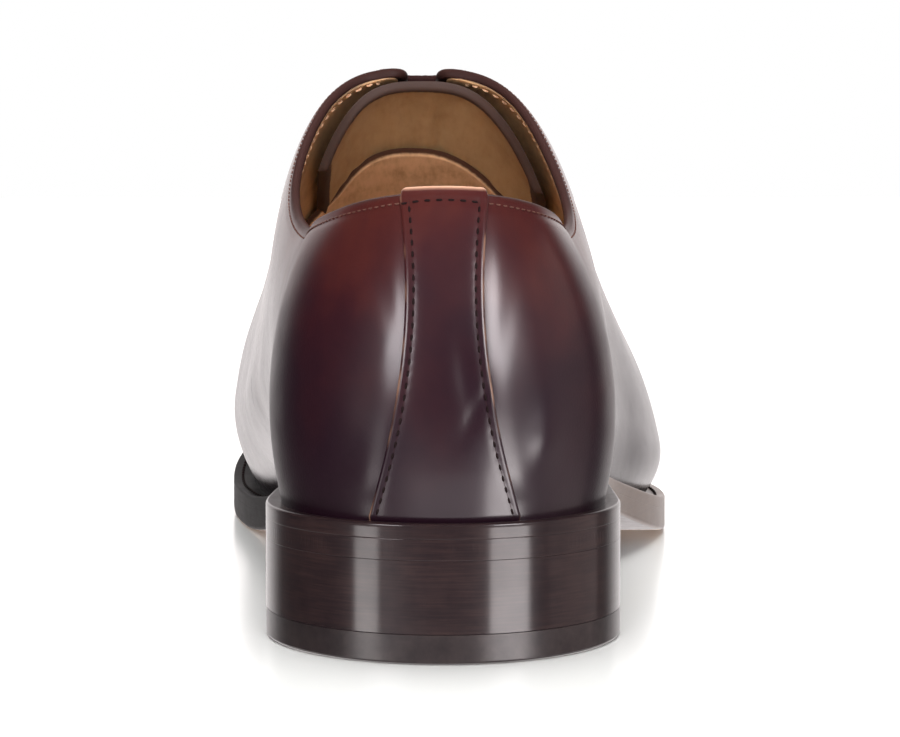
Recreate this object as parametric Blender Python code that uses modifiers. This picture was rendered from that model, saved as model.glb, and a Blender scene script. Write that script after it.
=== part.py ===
"""Right-foot plain oxford shoe, built from the pieces a shoemaker puts together.

The shapes are worked out in millimetres: y runs from the back of the heel to the toe, x from the
heel's centre line towards the little toe, and z up from the floor. The meshes are in metres, with
the origin on the floor under the middle of the shoe.
"""

import math
from collections import namedtuple

import bmesh
import bpy
import numpy as np
from mathutils import Matrix, Vector

MM = 0.001
GAP = 0.3

# Main sizes of the shoe
SHOE_LENGTH = 302.0
HEEL_WIDTH = 66.0
BALL_WIDTH = 106.0
BALL_OUTSIDE = 0.515 * BALL_WIDTH
BALL_INSIDE = BALL_OUTSIDE - BALL_WIDTH
WALL = 2.4

# Layers under the foot
TOP_PIECE = 5.2
SEAT_HEIGHT = 18.2
HEEL_BREAST = 72.0
BREAST_HOLLOW = 5.0
OUTSOLE_AT_HEEL = 3.6
OUTSOLE_AT_BALL = 5.2
OUTSOLE_BEVEL = 0.9
WELT = 2.6
WELT_BEVEL = 0.6
WELT_UNDER_WALL = 3.2
INSOLE_MARGIN = 3.6
INSOLE_RISE = 1.4

# Where the tread leaves the heel, lies flat at the ball and springs up to the toe
WAIST_START = 76.0
FLAT_START = 190.0
FLAT_END = 206.0
TOE_SPRING = 15.0
SPRING_POWER = 1.5

# Cross sections turn about a spine that stops short of the heel and the toe
SPINE_START = 37.0
SPINE_END = 262.0
SPINE_EASE = 10.0

# Mouth of the shoe
FACING_TOP = 128.0
FACING_CORNER = 5.0
FACING_BOTTOM = 189.0
FACING_GAP = 6.2
THROAT_TAPER = 30.0

# Lacing
EYELET_ROWS = 5
FIRST_EYELET = 140.0
EYELET_PITCH = 9.8
EYELET_REACH = 12.5
EYELET_HOLE = 4.2
LACE = 2.4
LACE_LIFT = 0.35
LACE_SHOULDER = 0.8
LACE_TUCK = 0.75
LACE_STOPS = (0.18, 0.5, 0.85)
PUNCH_OVERRUN = 2.0

TONGUE = 2.0
TONGUE_CLEARANCE = 0.8
TONGUE_STAND = 0.9
TONGUE_CURL = 1.2
TONGUE_TOP = 129.5
TONGUE_FOOT = 186.0
TONGUE_TOP_SWING = 0.40
TONGUE_FOOT_SWING = 0.62
TONGUE_ROUNDING = 3.0

STRIP = 1.0
STRIP_TOP_RISE = 0.7
STRIP_FOOT = -0.97

# The sole's edge: place, heading in degrees and how far each curve keeps that heading
SoleNode = namedtuple("SoleNode", "place x y heading reach_in reach_out")
SOLE_NODES = (
    SoleNode("heel back", 0.0, 0.0, 0.0, 18.2, 18.2),
    SoleNode("heel outside", HEEL_WIDTH / 2, 37.0, 90.0, 20.0, 20.0),
    SoleNode("waist outside", 33.2, 94.0, 87.0, 20.0, 34.0),
    SoleNode("ball outside", BALL_OUTSIDE, 194.0, 92.0, 36.0, 42.0),
    SoleNode("toe tip", -10.0, SHOE_LENGTH, 180.0, 33.0, 24.0),
    SoleNode("ball inside", BALL_INSIDE, 234.0, 269.0, 36.0, 50.0),
    SoleNode("waist inside", -29.0, 112.0, 272.0, 36.0, 28.0),
    SoleNode("heel inside", -HEEL_WIDTH / 2, 37.0, 270.0, 20.0, 20.0),
)
STEPS_PER_NODE = 90

# How far the sole's edge stands out from the foot of the upper
Margin = namedtuple("Margin", "y width")
MARGINS = (
    Margin(0.0, 2.6),
    Margin(40.0, 2.9),
    Margin(100.0, 3.6),
    Margin(190.0, 5.0),
    Margin(302.0, 5.0),
)

# The upper across the foot, on the outside (out) and the inside (in): how far the wall stands out past
# its foot line, how high that widest line lies above it, and how full the section is from there to the
# crown; then the height of the crown over the floor, and how much the wall flares towards its widest line
Section = namedtuple(
    "Section", "y bulge_out bulge_in rise_out rise_in fullness_out fullness_in crown flare"
)
SECTIONS = (
    Section(2.6, 0.9, 0.9, 18.0, 18.0, 2.0, 2.0, 104.0, 0.0),
    Section(14.0, 1.4, 1.4, 18.0, 18.0, 2.0, 2.0, 96.0, 0.0),
    Section(37.0, 2.0, 2.2, 17.0, 18.5, 1.85, 2.05, 92.0, 0.01),
    Section(70.0, 4.6, 5.8, 15.5, 19.5, 2.0, 2.2, 93.6, 0.02),
    Section(100.0, 4.6, 11.2, 15.0, 22.0, 2.45, 2.9, 101.2, 0.03),
    Section(128.0, 2.4, 14.2, 15.5, 24.0, 2.7, 3.0, 108.0, 0.16),
    Section(160.0, 2.8, 10.8, 14.0, 25.0, 2.05, 2.5, 94.0, 0.13),
    Section(190.0, 3.8, 7.0, 12.0, 24.0, 2.0, 2.3, 78.6, 0.08),
    Section(220.0, 3.4, 3.2, 12.0, 19.0, 2.2, 2.25, 65.2, 0.0),
    Section(250.0, 2.6, 2.4, 12.0, 13.5, 2.25, 2.25, 53.8, 0.0),
    Section(275.0, 1.8, 1.8, 11.0, 11.5, 2.05, 2.05, 46.6, 0.0),
    Section(300.0, 1.4, 1.4, 9.0, 9.0, 1.9, 1.9, 41.0, 0.0),
)

# Crown line seen from above
Crown = namedtuple("Crown", "y x")
CROWN_LINE = (
    Crown(0.0, 0.0),
    Crown(37.0, -0.2),
    Crown(128.0, -3.6),
    Crown(190.0, -5.2),
    Crown(262.0, -9.0),
    Crown(302.0, -9.5),
)

# Height of the topline over the floor
Topline = namedtuple("Topline", "y height")
TOPLINE = (
    Topline(2.6, 82.4),
    Topline(14.0, 80.2),
    Topline(37.0, 76.8),
    Topline(64.0, 75.0),
    Topline(84.0, 78.2),
    Topline(100.0, 86.5),
    Topline(114.0, 97.5),
    Topline(121.0, 102.6),
    Topline(126.0, 106.3),
    Topline(128.0, 107.4),
)

# Half width of the back strip against height over the floor
Strip = namedtuple("Strip", "height half_width")
BACK_STRIP = (
    Strip(24.0, 14.4),
    Strip(37.0, 10.5),
    Strip(47.5, 8.4),
    Strip(57.5, 7.2),
    Strip(66.0, 6.9),
    Strip(84.0, 8.0),
)

# Spacing of the sections along the foot, and rows up the wall
COARSE_STEP = 8.5
FINE_STEP = 2.0
FINE_FROM = 115.0
FINE_TO = 133.0
ROWS_BELOW = 3
ROWS_ABOVE = 12
STRIP_ROWS = 12
STRIP_COLUMNS = 8
TONGUE_ROWS = 10
TONGUE_COLUMNS = 18
HEEL_STEPS = 26
BREAST_STEPS = 8
PUNCH_SIDES = 10
MARCH = 0.5
HALVINGS = 40
NORMAL_CLIMB = 0.02
NORMAL_PLACE = 1.5
SHARP_EDGE = math.radians(40)
SAME_POINT = 1e-6

LEATHER = (0.085, 0.022, 0.022)
LINING = (0.45, 0.24, 0.11)
SOLE_EDGE = (0.035, 0.014, 0.011)
RUBBER = (0.012, 0.011, 0.011)
LACE_COLOUR = (0.03, 0.012, 0.011)
POLISHED = 0.3
BURNISHED = 0.35
DULL = 0.6


def spline(table, column):
    """Natural cubic through one column of a table, against the table's first column."""
    at = np.array([row[0] for row in table])
    value = np.array([getattr(row, column) for row in table])
    step = np.diff(at)
    size = len(at)
    system = np.eye(size)
    right = np.zeros(size)
    for i in range(1, size - 1):
        system[i, i - 1 : i + 2] = step[i - 1], 2 * (step[i - 1] + step[i]), step[i]
        right[i] = 6 * ((value[i + 1] - value[i]) / step[i] - (value[i] - value[i - 1]) / step[i - 1])
    bend = np.linalg.solve(system, right)

    def read(y):
        y = min(max(y, at[0]), at[-1])
        i = min(max(int(np.searchsorted(at, y)) - 1, 0), size - 2)
        before, after, h = y - at[i], at[i + 1] - y, step[i]
        cubic = (bend[i] * after**3 + bend[i + 1] * before**3) / (6 * h)
        start = (value[i] / h - bend[i] * h / 6) * after
        return float(cubic + start + (value[i + 1] / h - bend[i + 1] * h / 6) * before)

    return read


margin_at = spline(MARGINS, "width")
crown_x = spline(CROWN_LINE, "x")
topline_at = spline(TOPLINE, "height")
strip_half_width = spline(BACK_STRIP, "half_width")
section_at = {name: spline(SECTIONS, name) for name in Section._fields[1:]}


def ease(value):
    """Smooth step from 0 to 1."""
    value = min(max(value, 0.0), 1.0)
    return value * value * (3 - 2 * value)


def tread_height(y):
    """Underside of the outsole: level seat, waist, flat tread and toe spring."""
    if y > FLAT_END:
        return TOE_SPRING * ((y - FLAT_END) / (SHOE_LENGTH - FLAT_END)) ** SPRING_POWER
    return SEAT_HEIGHT * (1 - ease((y - WAIST_START) / (FLAT_START - WAIST_START)))


def outsole_top(y):
    forward = ease((y - WAIST_START) / (FLAT_START - WAIST_START))
    return tread_height(y) + OUTSOLE_AT_HEEL + (OUTSOLE_AT_BALL - OUTSOLE_AT_HEEL) * forward


def welt_top(y):
    return outsole_top(y) + GAP + WELT


def foot_line(y):
    """Height of the upper's lower edge."""
    return welt_top(y) + GAP


def sole_edge():
    """The sole's outline as a closed run of points, from the heel's back round by the outside."""
    points = []
    for node, following in zip(SOLE_NODES, SOLE_NODES[1:] + SOLE_NODES[:1]):
        start, end = Vector((node.x, node.y)), Vector((following.x, following.y))
        out = Vector((math.cos(math.radians(node.heading)), math.sin(math.radians(node.heading))))
        into = math.radians(following.heading)
        leave = start + out * node.reach_out
        arrive = end - Vector((math.cos(into), math.sin(into))) * following.reach_in
        for i in range(STEPS_PER_NODE):
            t = i / STEPS_PER_NODE
            points.append(
                start * (1 - t) ** 3 + leave * 3 * t * (1 - t) ** 2 + arrive * 3 * t * t * (1 - t) + end * t**3
            )
    return points


def inset(outline, width_at):
    """An outline moved inwards by a width that depends on y."""
    moved = []
    for i, point in enumerate(outline):
        along = outline[(i + 1) % len(outline)] - outline[i - 1]
        inward = Vector((-along.y, along.x)).normalized()
        moved.append(point + inward * width_at(point.y))
    return moved


def at_place(outline, place):
    """Point of an outline at a fractional index."""
    first = math.floor(place)
    share = place - first
    count = len(outline)
    return outline[first % count].lerp(outline[(first + 1) % count], share)


EDGE = sole_edge()
FEATHER = inset(EDGE, margin_at)
WELT_INNER = inset(FEATHER, lambda y: WELT_UNDER_WALL)
INSOLE_EDGE = inset(FEATHER, lambda y: INSOLE_MARGIN)
TIP = max(range(len(FEATHER)), key=lambda i: FEATHER[i].y)


def place_at(side, y):
    """Where the upper's foot line reaches y, on the outside (1) or the inside (-1)."""
    span = range(0, TIP) if side > 0 else range(len(FEATHER), TIP, -1)
    step = 1 if side > 0 else -1
    for i in span:
        here, there = FEATHER[i % len(FEATHER)].y, FEATHER[(i + step) % len(FEATHER)].y
        if here <= y <= there and there > here:
            return i + step * (y - here) / (there - here)
    return float(TIP)


def spine_y(y):
    """The spine's y for a foot-line y: equal along the middle, eased to a stop near both ends."""
    y = SPINE_START + SPINE_EASE * float(np.logaddexp(0.0, (y - SPINE_START) / SPINE_EASE))
    return SPINE_END - SPINE_EASE * float(np.logaddexp(0.0, (SPINE_END - y) / SPINE_EASE))


class Ray:
    """One half section of the upper, from the spine out to a place on the foot line."""

    def __init__(self, place):
        self.place = place
        self.side = 1 if place % len(FEATHER) <= TIP else -1
        self.foot = at_place(FEATHER, place)
        self.y = self.foot.y
        self.spine = Vector((0.0, spine_y(self.y)))
        self.spine.x = crown_x(self.spine.y)
        self.reach = (self.foot - self.spine).length
        self.out = (self.foot - self.spine) / self.reach
        hand = "out" if self.side > 0 else "in"
        self.base = foot_line(self.y)
        self.widest = self.base + section_at["rise_" + hand](self.y)
        self.wide = self.reach + section_at["bulge_" + hand](self.y)
        self.crown = section_at["crown"](min(self.y, self.spine.y))
        self.power = section_at["fullness_" + hand](self.y)
        self.flare = self.wide * max(section_at["flare"](self.y), 0.0)
        ahead, behind = (section_at["crown"](self.spine.y + step) for step in (1.0, -1.0))
        toe = ease((self.y - FACING_BOTTOM) / (SPINE_END - FACING_BOTTOM))
        self.fall = toe * self.out.y * (ahead - behind) / 2

    def profile(self, climb):
        """Distance from the spine and height: climb is -1 at the foot line, 0 at the widest, 1 at the crown."""
        tall = self.crown - self.widest
        if climb <= 0:
            drop = -climb * (self.widest - self.base)
            slope = 2 * self.flare / tall
            full = self.widest - self.base
            tuck = (self.wide + slope * full - self.reach) / full**2
            return self.wide + slope * drop - tuck * drop**2, self.widest - drop
        angle = climb * math.pi / 2
        share = math.sin(angle) ** (2 / self.power)
        round_part = (self.wide - self.flare) * max(math.cos(angle), 0.0) ** (2 / self.power)
        distance = round_part + self.flare * (1 - share) ** 2
        lean = self.fall * distance * (1 - (distance / self.wide) ** 2)
        return distance, self.widest + tall * share + lean

    def point(self, climb):
        distance, height = self.profile(climb)
        flat = self.spine + self.out * distance
        return Vector((flat.x, flat.y, height))

    def climb_to(self, test):
        """Climb at which a test of (distance, height) first holds, on the way up from the widest line."""
        low, high = 0.0, 1.0
        for _ in range(HALVINGS):
            middle = (low + high) / 2
            if test(*self.profile(middle)):
                high = middle
            else:
                low = middle
        return high

    def edge_climb(self):
        """Climb at which the wall ends: topline, facing or, in front of the throat, the crown."""
        if self.y >= FACING_BOTTOM:
            return 1.0
        if self.y < FACING_TOP:
            top = topline_at(self.y)
            return self.climb_to(lambda distance, height: height >= top)
        opening = half_opening(self.y)
        return self.climb_to(lambda distance, height: distance <= opening)


def half_opening(y):
    """Half width of the throat: round corners at the top of the facings, closing at the bottom."""
    facing = FACING_GAP / 2 * ease((FACING_BOTTOM - y) / THROAT_TAPER) ** 0.5
    corner = max(FACING_TOP + FACING_CORNER - y, 0.0)
    return facing + FACING_CORNER - math.sqrt(FACING_CORNER**2 - corner**2)


def wall_point(place, climb, offset=0.0):
    """Point of the upper's outer face, moved out along its normal."""
    here = Ray(place).point(climb)
    if not offset:
        return here
    step = NORMAL_CLIMB if climb + NORMAL_CLIMB < 1 else -NORMAL_CLIMB
    along = Ray(place + NORMAL_PLACE).point(climb) - Ray(place - NORMAL_PLACE).point(climb)
    up = (Ray(place).point(climb + step) - here) * (1 if step > 0 else -1)
    return here + along.cross(up).normalized() * offset


def section_places():
    """Places of the sections in order round the shoe, from the toe by the outside to the heel and back."""
    ys = []
    place = 0.0
    last = at_place(FEATHER, 0.0)
    travelled = 0.0
    while place < TIP - 1:
        place += MARCH
        here = at_place(FEATHER, place)
        travelled += (here - last).length
        last = here
        if travelled >= (FINE_STEP if FINE_FROM < here.y < FINE_TO else COARSE_STEP):
            ys.append(here.y)
            travelled = 0.0
    outside = [place_at(1, y) for y in ys]
    inside = [place_at(-1, y) for y in ys]
    return [float(TIP)] + outside[::-1] + [0.0] + inside


PLACES = section_places()


def new_object(name, mesh, collection, colour, roughness, metallic=0.0):
    """Object in a collection, smooth shaded, with its own material."""
    material = bpy.data.materials.new(name)
    material.use_nodes = True
    shader = material.node_tree.nodes["Principled BSDF"]
    shader.inputs["Base Color"].default_value = (*colour, 1.0)
    shader.inputs["Roughness"].default_value = roughness
    shader.inputs["Metallic"].default_value = metallic
    mesh.materials.append(material)
    piece = bpy.data.objects.new(name, mesh)
    collection.objects.link(piece)
    return piece


def grid_mesh(name, rows, closed_rows=False, closed_columns=False):
    """Quad mesh over rows of points, in metres, with points that coincide made one."""
    bm = bmesh.new()
    verts = [[bm.verts.new(Vector(point) * MM) for point in row] for row in rows]
    row_count, column_count = len(rows), len(rows[0])
    for i in range(row_count if closed_rows else row_count - 1):
        for j in range(column_count if closed_columns else column_count - 1):
            following, beside = (i + 1) % row_count, (j + 1) % column_count
            bm.faces.new((verts[i][j], verts[following][j], verts[following][beside], verts[i][beside]))
    bmesh.ops.remove_doubles(bm, verts=bm.verts, dist=SAME_POINT)
    bmesh.ops.dissolve_degenerate(bm, edges=bm.edges, dist=SAME_POINT)
    bmesh.ops.recalc_face_normals(bm, faces=bm.faces)
    mesh = bpy.data.meshes.new(name)
    bm.to_mesh(mesh)
    bm.free()
    mesh.shade_smooth()
    mesh.set_sharp_from_angle(angle=SHARP_EDGE)
    return mesh


def solidify(piece, thickness, offset):
    modifier = piece.modifiers.new("wall", "SOLIDIFY")
    modifier.thickness = thickness * MM
    modifier.offset = offset
    modifier.use_even_offset = True


def make_upper(collection, cutters):
    """One-piece leather upper with punched eyelets, open at the mouth and underneath."""
    rows = []
    for place in PLACES:
        ray = Ray(place)
        end = ray.edge_climb()
        below = [-1 + i / ROWS_BELOW for i in range(ROWS_BELOW)]
        above = [end * i / ROWS_ABOVE for i in range(ROWS_ABOVE + 1)]
        rows.append([ray.point(climb) for climb in below + above])
    mesh = grid_mesh("upper", rows, closed_rows=True)
    crown = max(mesh.polygons, key=lambda face: face.center.z)
    if crown.normal.z < 0:
        mesh.flip_normals()
    upper = new_object("upper", mesh, collection, LEATHER, POLISHED)
    solidify(upper, WALL, -1.0)
    punch = new_object("eyelet_punch", eyelet_punch(), cutters, RUBBER, DULL)
    punch.hide_render = True
    punch.display_type = "WIRE"
    holes = upper.modifiers.new("eyelets", "BOOLEAN")
    holes.operation = "DIFFERENCE"
    holes.solver = "EXACT"
    holes.object = punch
    return upper


def eyelets():
    """Each eyelet row as the two places on the wall, inside first: (place, climb)."""
    rows = []
    for i in range(EYELET_ROWS):
        y = FIRST_EYELET + i * EYELET_PITCH
        pair = []
        for side in (-1, 1):
            place = place_at(side, y)
            pair.append((place, Ray(place).climb_to(lambda distance, height: distance <= EYELET_REACH)))
        rows.append(pair)
    return rows


def eyelet_punch():
    """Round punches through the facings, one for each eyelet."""
    bm = bmesh.new()
    for pair in eyelets():
        for place, climb in pair:
            outside = wall_point(place, climb, PUNCH_OVERRUN)
            inside = wall_point(place, climb, -PUNCH_OVERRUN - WALL)
            axis = outside - inside
            turn = Vector((0, 0, 1)).rotation_difference(axis).to_matrix().to_4x4()
            bmesh.ops.create_cone(
                bm,
                cap_ends=True,
                segments=PUNCH_SIDES,
                radius1=EYELET_HOLE / 2 * MM,
                radius2=EYELET_HOLE / 2 * MM,
                depth=axis.length * MM,
                matrix=Matrix.Translation((outside + inside) / 2 * MM) @ turn,
            )
    mesh = bpy.data.meshes.new("eyelet_punch")
    bm.to_mesh(mesh)
    bm.free()
    return mesh


def make_back_strip(collection):
    """Leather strip over the back seam, on the upper's own surface and flaring to the sole."""
    back = Ray(0.0)
    top = back.edge_climb()
    pace = (FEATHER[1] - FEATHER[-1]).length / 2
    rows = []
    for i in range(STRIP_ROWS + 1):
        climb = STRIP_FOOT + (top - STRIP_FOOT) * i / STRIP_ROWS
        distance, height = back.profile(climb)
        turn = strip_half_width(height) / pace * back.reach / distance
        rise = STRIP_TOP_RISE if i == STRIP_ROWS else 0.0
        row = []
        for j in range(STRIP_COLUMNS + 1):
            place = turn * (2 * j / STRIP_COLUMNS - 1)
            row.append(wall_point(place, climb, GAP) + Vector((0, 0, rise)))
        rows.append(row)
    mesh = grid_mesh("back_strip", rows)
    if mesh.polygons[0].normal.y > 0:
        mesh.flip_normals()
    strip = new_object("back_strip", mesh, collection, LEATHER, POLISHED)
    solidify(strip, STRIP, 1.0)
    return strip


def make_tongue(collection):
    """Lined tongue lying under the facings; its rounded top stands off them and its corners curl in."""
    rows = []
    for i in range(TONGUE_ROWS + 1):
        share = i / TONGUE_ROWS
        row = []
        for j in range(TONGUE_COLUMNS + 1):
            across = 2 * j / TONGUE_COLUMNS - 1
            side = 1 if across > 0 else -1
            rounding = (1 - share) * TONGUE_ROUNDING * abs(across) ** 3
            y = TONGUE_TOP + rounding + (TONGUE_FOOT - TONGUE_TOP - rounding) * share
            swing = TONGUE_TOP_SWING + (TONGUE_FOOT_SWING - TONGUE_TOP_SWING) * share
            climb = 1 - abs(across) * (1 - swing)
            stand = (1 - share) * (TONGUE_STAND + TONGUE_CURL * across ** 2)
            row.append(wall_point(place_at(side, y), climb, -(WALL + TONGUE_CLEARANCE + stand)))
        rows.append(row)
    mesh = grid_mesh("tongue", rows)
    middle = mesh.polygons[len(mesh.polygons) // 2]
    if middle.normal.z < 0:
        mesh.flip_normals()
    tongue = new_object("tongue", mesh, collection, LINING, DULL)
    solidify(tongue, TONGUE, -1.0)
    return tongue


def plate(name, outline, layers, collection, colour, roughness):
    """Solid that follows the sole's plan: layers of (inset, share of the way out, height function)."""
    rows = []
    for place in PLACES:
        ray = Ray(place)
        edge = at_place(outline, place)
        row = []
        for pull, share, height in layers:
            rim = edge + (ray.spine - edge).normalized() * pull
            flat = ray.spine.lerp(rim, share)
            row.append(Vector((flat.x, flat.y, height(flat.y))))
        rows.append(row)
    return new_object(name, grid_mesh(name, rows, closed_rows=True), collection, colour, roughness)


def make_outsole(collection):
    """Leather outsole with a rounded lower edge."""
    layers = (
        (0.0, 0.0, outsole_top),
        (0.0, 0.5, outsole_top),
        (0.0, 1.0, outsole_top),
        (0.0, 1.0, lambda y: tread_height(y) + OUTSOLE_BEVEL),
        (OUTSOLE_BEVEL, 1.0, tread_height),
        (OUTSOLE_BEVEL, 0.5, tread_height),
        (0.0, 0.0, tread_height),
    )
    return plate("outsole", EDGE, layers, collection, SOLE_EDGE, BURNISHED)


def make_insole(collection):
    """Leather insole inside the welt, with its top a little above the upper's foot line."""
    under = lambda y: outsole_top(y) + GAP
    over = lambda y: welt_top(y) + INSOLE_RISE
    layers = (
        (0.0, 0.0, over),
        (0.0, 0.5, over),
        (0.0, 1.0, over),
        (0.0, 1.0, under),
        (0.0, 0.5, under),
        (0.0, 0.0, under),
    )
    return plate("insole", INSOLE_EDGE, layers, collection, LINING, DULL)


def make_welt(collection):
    """Leather welt all the way round, between the upper and the outsole."""
    rows = []
    for place in PLACES:
        outer, inner = at_place(EDGE, place), at_place(WELT_INNER, place)
        soft = outer + (inner - outer).normalized() * WELT_BEVEL
        corners = (
            (outer, outsole_top(outer.y) + GAP),
            (outer, welt_top(outer.y) - WELT_BEVEL),
            (soft, welt_top(soft.y)),
            (inner, welt_top(inner.y)),
            (inner, outsole_top(inner.y) + GAP),
        )
        rows.append([Vector((point.x, point.y, height)) for point, height in corners])
    mesh = grid_mesh("welt", rows, closed_rows=True, closed_columns=True)
    return new_object("welt", mesh, collection, SOLE_EDGE, BURNISHED)


def heel_outline():
    """The sole's edge behind the heel breast, closed by the breast's hollow curve."""
    count = len(EDGE)
    breast = lambda x: HEEL_BREAST - BREAST_HOLLOW * (1 - (2 * x / HEEL_WIDTH) ** 2)
    outside = max(i for i in range(count // 2) if EDGE[i].y <= HEEL_BREAST)
    inside = min(i for i in range(count // 2, count) if EDGE[i].y <= HEEL_BREAST) - count
    rim = [at_place(EDGE, inside + (outside - inside) * i / HEEL_STEPS) for i in range(HEEL_STEPS + 1)]
    start, end = rim[-1], rim[0]
    front = []
    for i in range(1, BREAST_STEPS):
        x = start.x + (end.x - start.x) * i / BREAST_STEPS
        front.append(Vector((x, breast(x))))
    return rim + front


def heel_block(name, low, high, collection, colour, roughness):
    """One layer of the heel, cut straight down the heel's outline."""
    curve = bpy.data.curves.new(name, "CURVE")
    curve.dimensions = "2D"
    curve.fill_mode = "BOTH"
    curve.extrude = (high - low) / 2 * MM
    outline = heel_outline()
    line = curve.splines.new("POLY")
    line.points.add(len(outline) - 1)
    for point, flat in zip(line.points, outline):
        point.co = (flat.x * MM, flat.y * MM, 0, 1)
    line.use_cyclic_u = True
    block = new_object(name, curve, collection, colour, roughness)
    block.location.z = (low + high) / 2 * MM
    return block


def make_laces(collection):
    """A straight lace bar over the facings for each eyelet row, turned down into its two holes."""
    above = LACE / 2 + LACE_LIFT
    bars = []
    for number, ((inner, inner_climb), (outer, outer_climb)) in enumerate(eyelets(), 1):
        path = []
        lifts = (-WALL * LACE_TUCK, 0.0, above * LACE_SHOULDER)
        for lift in lifts:
            path.append(wall_point(inner, inner_climb, lift))
        for share in LACE_STOPS:
            path.append(wall_point(inner, inner_climb + (1 - inner_climb) * share, above))
        for share in reversed(LACE_STOPS):
            path.append(wall_point(outer, outer_climb + (1 - outer_climb) * share, above))
        for lift in reversed(lifts):
            path.append(wall_point(outer, outer_climb, lift))
        curve = bpy.data.curves.new(f"lace_bar_{number}", "CURVE")
        curve.dimensions = "3D"
        curve.bevel_depth = LACE / 2 * MM
        curve.bevel_resolution = 2
        curve.use_fill_caps = True
        line = curve.splines.new("POLY")
        line.points.add(len(path) - 1)
        for point, place in zip(line.points, path):
            point.co = (*(place * MM), 1)
        bars.append(new_object(curve.name, curve, collection, LACE_COLOUR, DULL))
    return bars


def main():
    for old in list(bpy.data.objects):
        bpy.data.objects.remove(old)
    shoe = bpy.data.collections.new("oxford_shoe")
    cutters = bpy.data.collections.new("cutters")
    bpy.context.scene.collection.children.link(shoe)
    bpy.context.scene.collection.children.link(cutters)
    pieces = [
        make_upper(shoe, cutters),
        make_back_strip(shoe),
        make_tongue(shoe),
        make_insole(shoe),
        make_welt(shoe),
        make_outsole(shoe),
        heel_block("heel_stack", TOP_PIECE + GAP, SEAT_HEIGHT - GAP, shoe, SOLE_EDGE, BURNISHED),
        heel_block("heel_top_piece", 0.0, TOP_PIECE, shoe, RUBBER, DULL),
        *make_laces(shoe),
    ]
    # The origin goes on the floor under the middle of the sole
    across = [point.x for point in EDGE]
    centre = bpy.data.objects.new("shoe_centre", None)
    centre.location = (-(min(across) + max(across)) / 2 * MM, -SHOE_LENGTH / 2 * MM, 0)
    shoe.objects.link(centre)
    for piece in pieces + list(cutters.objects):
        piece.parent = centre


main()
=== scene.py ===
import math

import bmesh
import bpy
import numpy as np
from mathutils import Matrix, Vector, noise


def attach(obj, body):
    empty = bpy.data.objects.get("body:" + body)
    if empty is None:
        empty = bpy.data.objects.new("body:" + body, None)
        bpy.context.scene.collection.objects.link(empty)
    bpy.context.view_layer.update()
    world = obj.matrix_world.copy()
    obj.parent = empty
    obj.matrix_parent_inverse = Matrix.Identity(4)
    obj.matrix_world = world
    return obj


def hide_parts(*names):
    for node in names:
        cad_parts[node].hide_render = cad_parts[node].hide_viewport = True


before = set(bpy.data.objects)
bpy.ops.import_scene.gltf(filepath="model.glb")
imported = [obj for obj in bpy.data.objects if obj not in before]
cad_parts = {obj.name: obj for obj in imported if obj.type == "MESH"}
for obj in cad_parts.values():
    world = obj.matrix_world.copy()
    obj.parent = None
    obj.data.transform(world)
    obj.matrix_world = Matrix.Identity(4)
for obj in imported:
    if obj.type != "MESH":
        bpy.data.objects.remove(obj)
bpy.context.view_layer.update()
print("frame: nodes", len(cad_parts))

# All sizes are millimetres: y from the back of the heel to the toe,
# x to the outside of the foot, z up from the floor.
last = {
    "length": 302.0,
    "heelWidth": 66.0,
    "ballWidth": 106.0,
    "ballOutside": 0.515,  # share of the ball's width outside the heel's centre line
    "wall": 2.4,
    "gap": 0.3,
    "spineStart": 37.0,
    "spineEnd": 262.0,
    "spineEase": 10.0,
    "facingTop": 128.0,
    "facingCorner": 5.0,
    "facingBottom": 189.0,
    "facingGap": 6.2,
    "throatTaper": 30.0,
}
soleLayers = {
    "topPiece": 5.2,
    "seat": 18.2,
    "breast": 72.0,
    "breastHollow": 5.0,
    "outsoleAtHeel": 3.6,
    "outsoleAtBall": 5.2,
    "welt": 2.6,
    "underWall": 3.2,
    "insoleMargin": 3.6,
    "insoleRise": 1.4,
    "waistStart": 76.0,
    "flatStart": 190.0,
    "flatEnd": 206.0,
    "toeSpring": 15.0,
    "springPower": 1.5,
}
ballOut = last["ballOutside"] * last["ballWidth"]
# the sole's edge: places, headings in degrees, and how far the curve keeps each heading before and after
edgeNodes = {
    "x": [
        0.0, last["heelWidth"] / 2, 33.2, ballOut,
        -10.0, ballOut - last["ballWidth"], -29.0, -last["heelWidth"] / 2,
    ],
    "y": [0.0, 37.0, 94.0, 194.0, last["length"], 234.0, 112.0, 37.0],
    "heading": [0.0, 90.0, 87.0, 92.0, 180.0, 269.0, 272.0, 270.0],
    "before": [18.2, 20.0, 20.0, 36.0, 33.0, 36.0, 36.0, 20.0],
    "after": [18.2, 20.0, 34.0, 42.0, 24.0, 50.0, 28.0, 20.0],
    "steps": 240,
}
margins = {"y": [0.0, 40.0, 100.0, 190.0, 302.0], "width": [2.6, 2.9, 3.6, 5.0, 5.0]}
crownLine = {"y": [0.0, 37.0, 128.0, 190.0, 262.0, 302.0], "x": [0.0, -0.2, -3.6, -5.2, -9.0, -9.5]}
toplineHeights = {
    "y": [2.6, 14.0, 37.0, 64.0, 84.0, 100.0, 114.0, 121.0, 126.0, 128.0],
    "height": [82.4, 80.2, 76.8, 75.0, 78.2, 86.5, 97.5, 102.6, 106.3, 107.4],
}
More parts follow.
